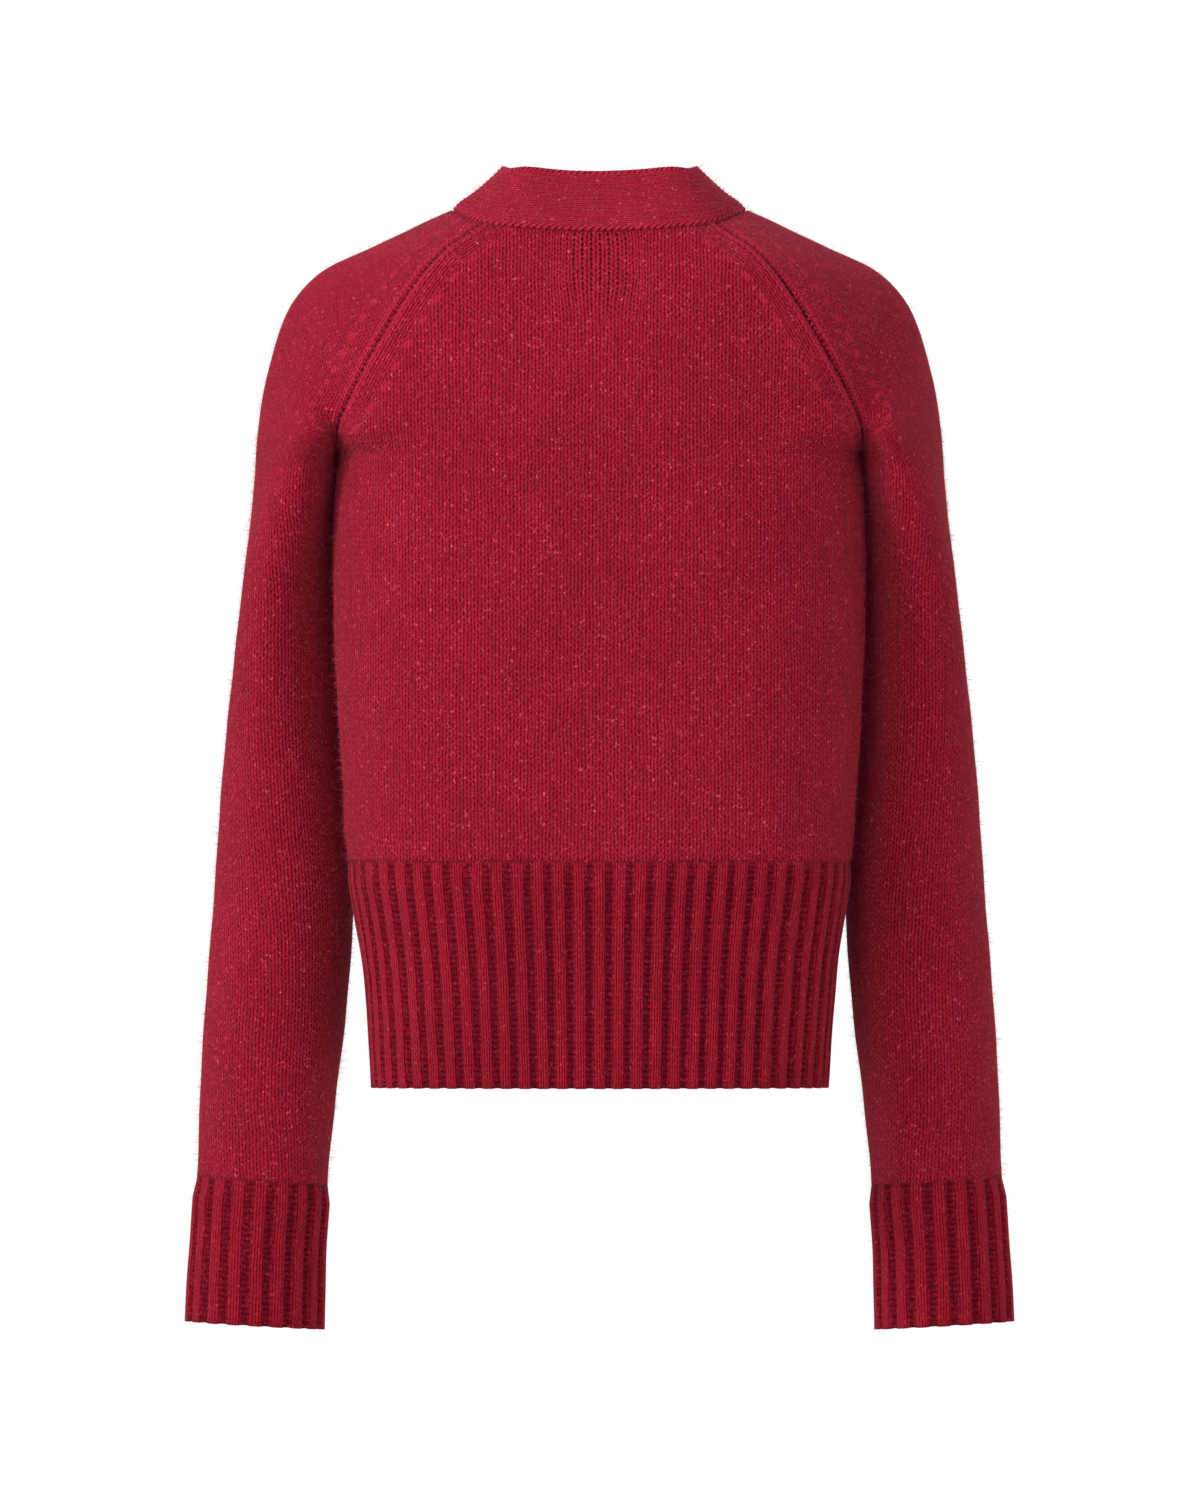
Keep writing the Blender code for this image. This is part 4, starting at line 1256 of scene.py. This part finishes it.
def button_profile():
    """A cupped face with a round rim, from its middle out and back under it."""
    radius, thick = BUTTON_RADIUS, BUTTON_THICKNESS
    profile = [(0.0, thick - BUTTON_DISH)]
    profile += [(share * (radius - BUTTON_RIM), thick - BUTTON_DISH * (1 - share**4))
                for share in np.linspace(0.2, 0.98, 8)]
    middle = thick * 0.55
    for angle in np.linspace(80, -80, 9):
        turn = math.radians(angle)
        out = radius - BUTTON_EDGE + BUTTON_EDGE * math.cos(turn)
        profile.append((out, middle + (thick - middle) * math.sin(turn)))
    profile += [(radius * 0.7, 0.0003), (0.0, 0.0)]
    return profile


def button_face():
    """The button's mesh, with four holes through it."""
    face = bpy.data.objects.new("button_blank", finished("button_blank", turned(button_profile(), 48)))
    drills = bmesh.new()
    for x, y in ((1, 1), (-1, 1), (1, -1), (-1, -1)):
        made = bmesh.ops.create_cone(drills, cap_ends=True, segments=16, radius1=BUTTON_HOLE,
                                     radius2=BUTTON_HOLE, depth=4 * BUTTON_THICKNESS)
        bmesh.ops.translate(drills, verts=made["verts"], vec=(x * BUTTON_HOLE_AT, y * BUTTON_HOLE_AT, 0))
    drill = bpy.data.objects.new("button_drill", finished("button_drill", drills))
    for item in (face, drill):
        bpy.context.scene.collection.objects.link(item)
    cut = face.modifiers.new("holes", "BOOLEAN")
    cut.object = drill
    cut.solver = "EXACT"
    done = bpy.data.meshes.new_from_object(face.evaluated_get(bpy.context.evaluated_depsgraph_get()))
    for item in (face, drill):
        bpy.data.objects.remove(item)
    done.name = "button_face"
    done.shade_smooth()
    done.set_sharp_from_angle(angle=math.radians(40))
    return done


def tube(mesh, line, radius, sides=8):
    """A round strand along a line of points."""
    line = np.array(line, dtype=float)
    ahead = unit(np.gradient(line, axis=0))
    first = unit(np.cross(ahead, (0.3, 0.2, 1.0)))
    second = np.cross(ahead, first)
    rings = []
    for place, x, y in zip(line, first, second):
        ring = []
        for step in range(sides):
            angle = 2 * math.pi * step / sides
            ring.append(mesh.verts.new(place + radius * (math.cos(angle) * x + math.sin(angle) * y)))
        rings.append(ring)
    for low, high in zip(rings, rings[1:]):
        for step in range(sides):
            after = (step + 1) % sides
            mesh.faces.new((low[step], low[after], high[after], high[step]))
    mesh.faces.new(rings[0][::-1])
    mesh.faces.new(rings[-1])


def button_thread():
    """Two pairs of strands over the middle of the button, sunk into its holes."""
    mesh = bmesh.new()
    top = BUTTON_THICKNESS - BUTTON_DISH
    for y in (-BUTTON_HOLE_AT, BUTTON_HOLE_AT):
        for offset in (-THREAD_ASIDE, THREAD_ASIDE):
            line = []
            for turn in np.linspace(-1.0, 1.0, 17):
                x = turn * BUTTON_HOLE_AT
                line.append((x, y + offset, top + THREAD_RISE - THREAD_DIP * abs(turn) ** 5))
            tube(mesh, line, THREAD_RADIUS)
    return finished("button_thread", mesh)


def buttonhole_edge():
    """The stitched edge of a buttonhole, a long ring that shows above and below its button."""
    mesh = bmesh.new()
    line = []
    for turn in np.linspace(0.0, 2 * math.pi, 49):
        wave = SLIT_STITCH * math.cos(24 * turn)
        x = SLIT_HALF_WIDTH * math.sin(turn) + wave * math.sin(turn)
        y = SLIT_HALF_LENGTH * math.copysign(abs(math.cos(turn)) ** 0.7, math.cos(turn))
        line.append((x, y, 0.0))
    tube(mesh, line, SLIT_STRAND)
    return finished("buttonhole_edge", mesh)


def button_material():
    """Dyed polyester: clouded, satin on top and a little scratched."""
    g = Graph("satin_button")
    cloud = g.noise(g.place(), 160.0, 4.0, 0.6, 1.5)
    scratch = g.noise(g.place(), 900.0, 3.0, 0.7)
    g.shade({
        "Base Color": g.tint(g.ramp(cloud, 0.35, 0.70), (0.090, 0.005, 0.010), (0.200, 0.012, 0.022)),
        "Roughness": g.ramp(scratch, 0.3, 0.7, 0.24, 0.40),
        "Coat Weight": 0.25,
        "Coat Roughness": 0.15,
    })
    g.bump(cloud, 0.08, 0.0004)
    return g.material


def thread_material():
    g = Graph("button_thread")
    twist = g.noise(g.place(), 1500.0, 3.0, 0.6, 2.0)
    g.shade({
        "Base Color": g.tint(twist, (0.120, 0.006, 0.012), (0.330, 0.025, 0.045)),
        "Roughness": 0.7,
        "Sheen Weight": 0.3,
    })
    g.bump(twist, 0.6, 0.0003)
    return g.material


def make_buttons(right):
    """Six buttons where the solid ones are, each with its thread and the edge of its buttonhole."""
    face, thread, edge = button_face(), button_thread(), buttonhole_edge()
    for data, material in ((face, button_material()), (thread, thread_material())):
        data.materials.clear()
        data.materials.append(material)
    edge.materials.append(thread.materials[0])
    low, across = (mirrored(values)[::-1] for values in right[:2])
    middle = low + (BAND_GAP + BAND_WIDTH / 2) * across
    for index, drop in enumerate(np.linspace(TOP_BUTTON_DROP, BOTTOM_BUTTON_DROP, BUTTONS)):
        number = index + 1
        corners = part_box(f"button_{number}")
        heights = np.array([-drop - BUTTON_RADIUS, -drop + BUTTON_RADIUS])
        under, over = (np.array([np.interp(height, middle[:, 2], middle[:, axis]) for axis in range(3)])
                       for height in heights)
        facing = Vector(unit(np.cross((1.0, 0.0, 0.0), over - under)))
        centre = (corners[0] + corners[1]) / 2
        turn = facing.to_track_quat("Z", "Y")
        seat = centre - facing * (BUTTON_THICKNESS / 2)
        pieces = (
            ("button_face", face, BUTTON_LIFT, "button_red", f"button_{number}"),
            ("button_thread", thread, BUTTON_LIFT, "band_red", None),
            ("buttonhole", edge, -BUTTON_LIFT, "band_red", None),
        )
        for name, data, lift, slot_name, node in pieces:
            item = placed(f"{name}_{number}", data, node)
            item.rotation_mode = "QUATERNION"
            item.rotation_quaternion = turn
            item.location = seat + facing * lift


# Making it all

BODY_YARN = Yarn(
    deep=(0.056, 0.0015, 0.0045),
    body=(0.236, 0.0062, 0.018),
    light=(0.330, 0.012, 0.034),
    fleck=(0.600, 0.085, 0.125),
)
# A darker copy of the same yarn: painted shade over the hem and cuffs
SHADED_RIB_YARN = Yarn(
    deep=(0.046, 0.0010, 0.003),
    body=(0.228, 0.0060, 0.016),
    light=(0.315, 0.011, 0.029),
    fleck=(0.480, 0.050, 0.075),
)
# A lighter copy of the same yarn: painted light on the band
LIT_BAND_YARN = Yarn(
    deep=(0.080, 0.0023, 0.007),
    body=(0.270, 0.0083, 0.023),
    light=(0.360, 0.017, 0.041),
    fleck=(0.600, 0.090, 0.130),
)


def cuff_grid():
    drops = steps_between(CUFF_DROP, SLEEVE_DROP, (CUFF_DROP - SLEEVE_DROP) / (RIB_ROWS * 0.65))
    phases = rib_phases(CUFF_RIBS) / CUFF_RIBS
    return np.array([at_shares(sleeve_ring(drop, FINE), phases) for drop in drops])


def make_cardigan():
    yoke = even(YOKE_STEPS)
    back, back_across, back_seam, back_start = make_back(yoke)
    sleeve, sleeve_across, sleeve_seam, sleeve_start = make_sleeve(yoke)
    fronts = [make_front(yoke, side) for side in (1, -1)]

    back_out = grid_normals(back)
    sleeve_out = blended_normals(sleeve, sleeve_start)
    front_outs = [grid_normals(front[0]) for front in fronts]
    front_start = fronts[0][3]
    for front_out in front_outs:
        starts = (back_start, sleeve_start, front_start)
        joined_normals(back_out, sleeve_out, front_out, yoke, starts)

    knit = (knit_material("knit", BODY_YARN, patch=True, marks=True),
            knit_material("knit_inside", BODY_YARN, inside=True))
    ribbing = (knit_material("ribbing", SHADED_RIB_YARN, leg_share=0.40),
               knit_material("ribbing_inside", SHADED_RIB_YARN, inside=True))
    banding = (knit_material("banding", LIT_BAND_YARN, leg_share=0.4, chain=True),
               knit_material("banding_inside", LIT_BAND_YARN, inside=True))

    shells = {}
    cloths = {}
    back_cloth = plain_cloth(back, back_out, back_across, back_seam, back_start, 1.0)
    cloths["back"] = back_cloth
    shells["back"] = shell("back_knit", back_cloth, KNIT_THICKNESS, knit, "back_panel")
    sleeve_cloth = plain_cloth(sleeve, sleeve_out, sleeve_across, sleeve_seam, sleeve_start, 0.25)
    drops = steps_between(HEM_DROP, BODY_DROP, (HEM_DROP - BODY_DROP) / RIB_ROWS)
    hem = back_grid(drops, rib_phases(BACK_RIBS) / BACK_RIBS)
    hem_cloth = ribbed_cloth(hem, grid_normals(hem), BACK_RIBS)
    cloths["back_hem"] = hem_cloth
    shells["back_hem"] = shell("back_hem_ribbing", hem_cloth, RIB_THICKNESS, ribbing,
                               "hem_rib_back")
    cuff = cuff_grid()
    cuff_cloth = ribbed_cloth(cuff, grid_normals(cuff, closed=True), CUFF_RIBS)
    for index, hand in enumerate(("left", "right")):
        turn = turned_cloth if hand == "right" else (lambda cloth: cloth)
        front, across, seam, start = fronts[index]
        front_cloth = plain_cloth(front, front_outs[index], across, seam, start, 1.0)
        rib = front_grid(drops, rib_phases(FRONT_RIBS) / FRONT_RIBS, 1 - 2 * index)
        rib_cloth = ribbed_cloth(rib, grid_normals(rib), FRONT_RIBS)
        made = (
            ("front_knit", front_cloth, KNIT_THICKNESS, knit, f"front_panel_{hand}", "knit_red"),
            ("sleeve_knit", sleeve_cloth, KNIT_THICKNESS, knit, f"sleeve_{hand}", "knit_red"),
            ("front_hem_ribbing", rib_cloth, RIB_THICKNESS, ribbing, f"hem_rib_front_{hand}", "rib_red"),
            ("cuff_ribbing", cuff_cloth, RIB_THICKNESS, ribbing, f"cuff_{hand}", "rib_red"),
        )
        for name, cloth, thickness, materials, node, slot_name in made:
            key = f"{hand}_{name}"
            cloths[key] = turn(cloth)
            shells[key] = shell(key, cloths[key], thickness, materials, node)

    frames = band_lines()
    shells["band"], cloths["band"] = band_strip("band_knit", frames, banding)
    make_buttons(frames[1])
    return shells, cloths


def band_lines():
    """The band's frames on both halves, from the same coarse grids as its solid."""
    yoke = even(YOKE_ROWS)
    back = creased(back_grid(BODY_DROPS, even(BACK_COLUMNS), yoke))
    sleeve = creased(sleeve_grid())
    rings, body = len(ARM_DROPS), len(BODY_DROPS)
    back_out, sleeve_out = grid_normals(back), blended_normals(sleeve, rings)
    fronts = [creased(front_grid(BODY_DROPS, even(FRONT_COLUMNS), side, yoke)) for side in (1, -1)]
    ribs = [front_grid(HEM_DROPS, rib_shares(FRONT_RIBS), side) for side in (1, -1)]
    fronts_out = [grid_normals(front) for front in fronts]
    ribs_out = [grid_normals(rib) for rib in ribs]
    share_normals(back_out[body:, -1], sleeve_out[rings:, 0])
    share_normals(*(out[body:, 0] for out in fronts_out), sleeve_out[rings:, -1])
    frames = []
    for front, front_out, rib, rib_out in zip(fronts, fronts_out, ribs, ribs_out):
        out = sewn_edge(back_out, sleeve_out, front_out, rib_out)
        frames.append(band_half(sewn_edge(back, sleeve, front, rib), out))
    return frames


FIBRE_PIECES = {
    "back": "knit_red",
    "back_hem": "rib_red",
    "left_front_knit": "knit_red",
    "right_front_knit": "knit_red",
    "left_sleeve_knit": "knit_red",
    "right_sleeve_knit": "knit_red",
    "left_front_hem_ribbing": "rib_red",
    "right_front_hem_ribbing": "rib_red",
    "left_cuff_ribbing": "rib_red",
    "right_cuff_ribbing": "rib_red",
    "band": "band_red",
}


def make_fibres(cloths):
    material = fibre_material()
    made = {}
    for seed, (key, slot_name) in enumerate(FIBRE_PIECES.items()):
        made[key] = fibres(f"{key}_fibres", cloths[key], material, slot_name, seed)
    return made


# Each sheet's cut: width, length and area, all round on a sleeve or cuff
Cut = namedtuple("Cut", "key width length area")
CUTS = (
    Cut("back", 0.39, 0.39, 0.130),
    Cut("left_front_knit", 0.21, 0.39, 0.060),
    Cut("right_front_knit", 0.21, 0.39, 0.060),
    Cut("left_sleeve_knit", 0.33, 0.60, 0.150),
    Cut("right_sleeve_knit", 0.33, 0.60, 0.150),
    Cut("back_hem", 0.36, 0.136, None),
    Cut("left_front_hem_ribbing", 0.18, 0.136, None),
    Cut("right_front_hem_ribbing", 0.18, 0.136, None),
    Cut("left_cuff_ribbing", 0.25, 0.088, None),
    Cut("right_cuff_ribbing", 0.25, 0.088, None),
    Cut("band", 1.46, 0.044, None),
)


def declare_sheets(loose):
    for cut in CUTS:
        pieces = [loose[cut.key]] if cut.key in loose else []


# The studio

FLOOR_Z = -0.80
FLOOR_HALF = 30.0
VIEW_HEIGHT = -0.315
VIEW_SHIFT = -0.0003
VIEW_DISTANCE = 16.0
FRAME_HEIGHT = 0.90
SENSOR = 36.0
Lamp = namedtuple("Lamp", "name x y z size power")
LAMPS = (
    Lamp("key", 2.6, 1.8, 1.2, 1.2, 11.5),
    Lamp("back", 0.7, 3.4, 1.6, 1.6, 6.0),
    Lamp("front", -1.6, -3.4, 1.4, 2.4, 7.0),
)
LAMP_SPREAD = 50.0
AIM = (0.0, 0.0, -0.12)


def make_studio():
    scene = bpy.context.scene
    data = bpy.data.meshes.new("floor")
    half = FLOOR_HALF
    corners = ((-half, -half), (half, -half), (half, half), (-half, half))
    data.from_pydata([(x, y, FLOOR_Z) for x, y in corners], [], [(0, 1, 2, 3)])
    floor = bpy.data.objects.new("floor", data)
    scene.collection.objects.link(floor)
    g = Graph("pale_floor")
    g.shade({"Base Color": (0.97, 0.97, 0.97), "Roughness": 1.0, "Specular IOR Level": 0.0})
    data.materials.append(g.material)

    world = bpy.data.worlds.new("studio")
    world.use_nodes = True
    world.node_tree.nodes["Background"].inputs[0].default_value = (1.0, 1.0, 1.0, 1.0)
    world.node_tree.nodes["Background"].inputs[1].default_value = 1.03
    scene.world = world
    scene.view_settings.view_transform = "Standard"

    for lamp in LAMPS:
        light = bpy.data.lights.new(lamp.name, "AREA")
        light.size = lamp.size
        light.energy = lamp.power
        light.spread = math.radians(LAMP_SPREAD)
        item = bpy.data.objects.new(lamp.name, light)
        item.location = (lamp.x, lamp.y, lamp.z)
        aim = Vector(AIM) - item.location
        item.rotation_mode = "QUATERNION"
        item.rotation_quaternion = aim.to_track_quat("-Z", "Y")
        scene.collection.objects.link(item)

    camera = bpy.data.cameras.new("camera")
    camera.sensor_width = SENSOR
    camera.lens = SENSOR * VIEW_DISTANCE / FRAME_HEIGHT
    camera.clip_end = 80.0
    item = bpy.data.objects.new("camera", camera)
    item.location = (VIEW_SHIFT, VIEW_DISTANCE, VIEW_HEIGHT)
    item.rotation_euler = (math.radians(90), 0.0, math.radians(180))
    scene.collection.objects.link(item)
    scene.camera = item


shells, cloths = make_cardigan()
loose = make_fibres(cloths)
declare_sheets(loose)
make_studio()
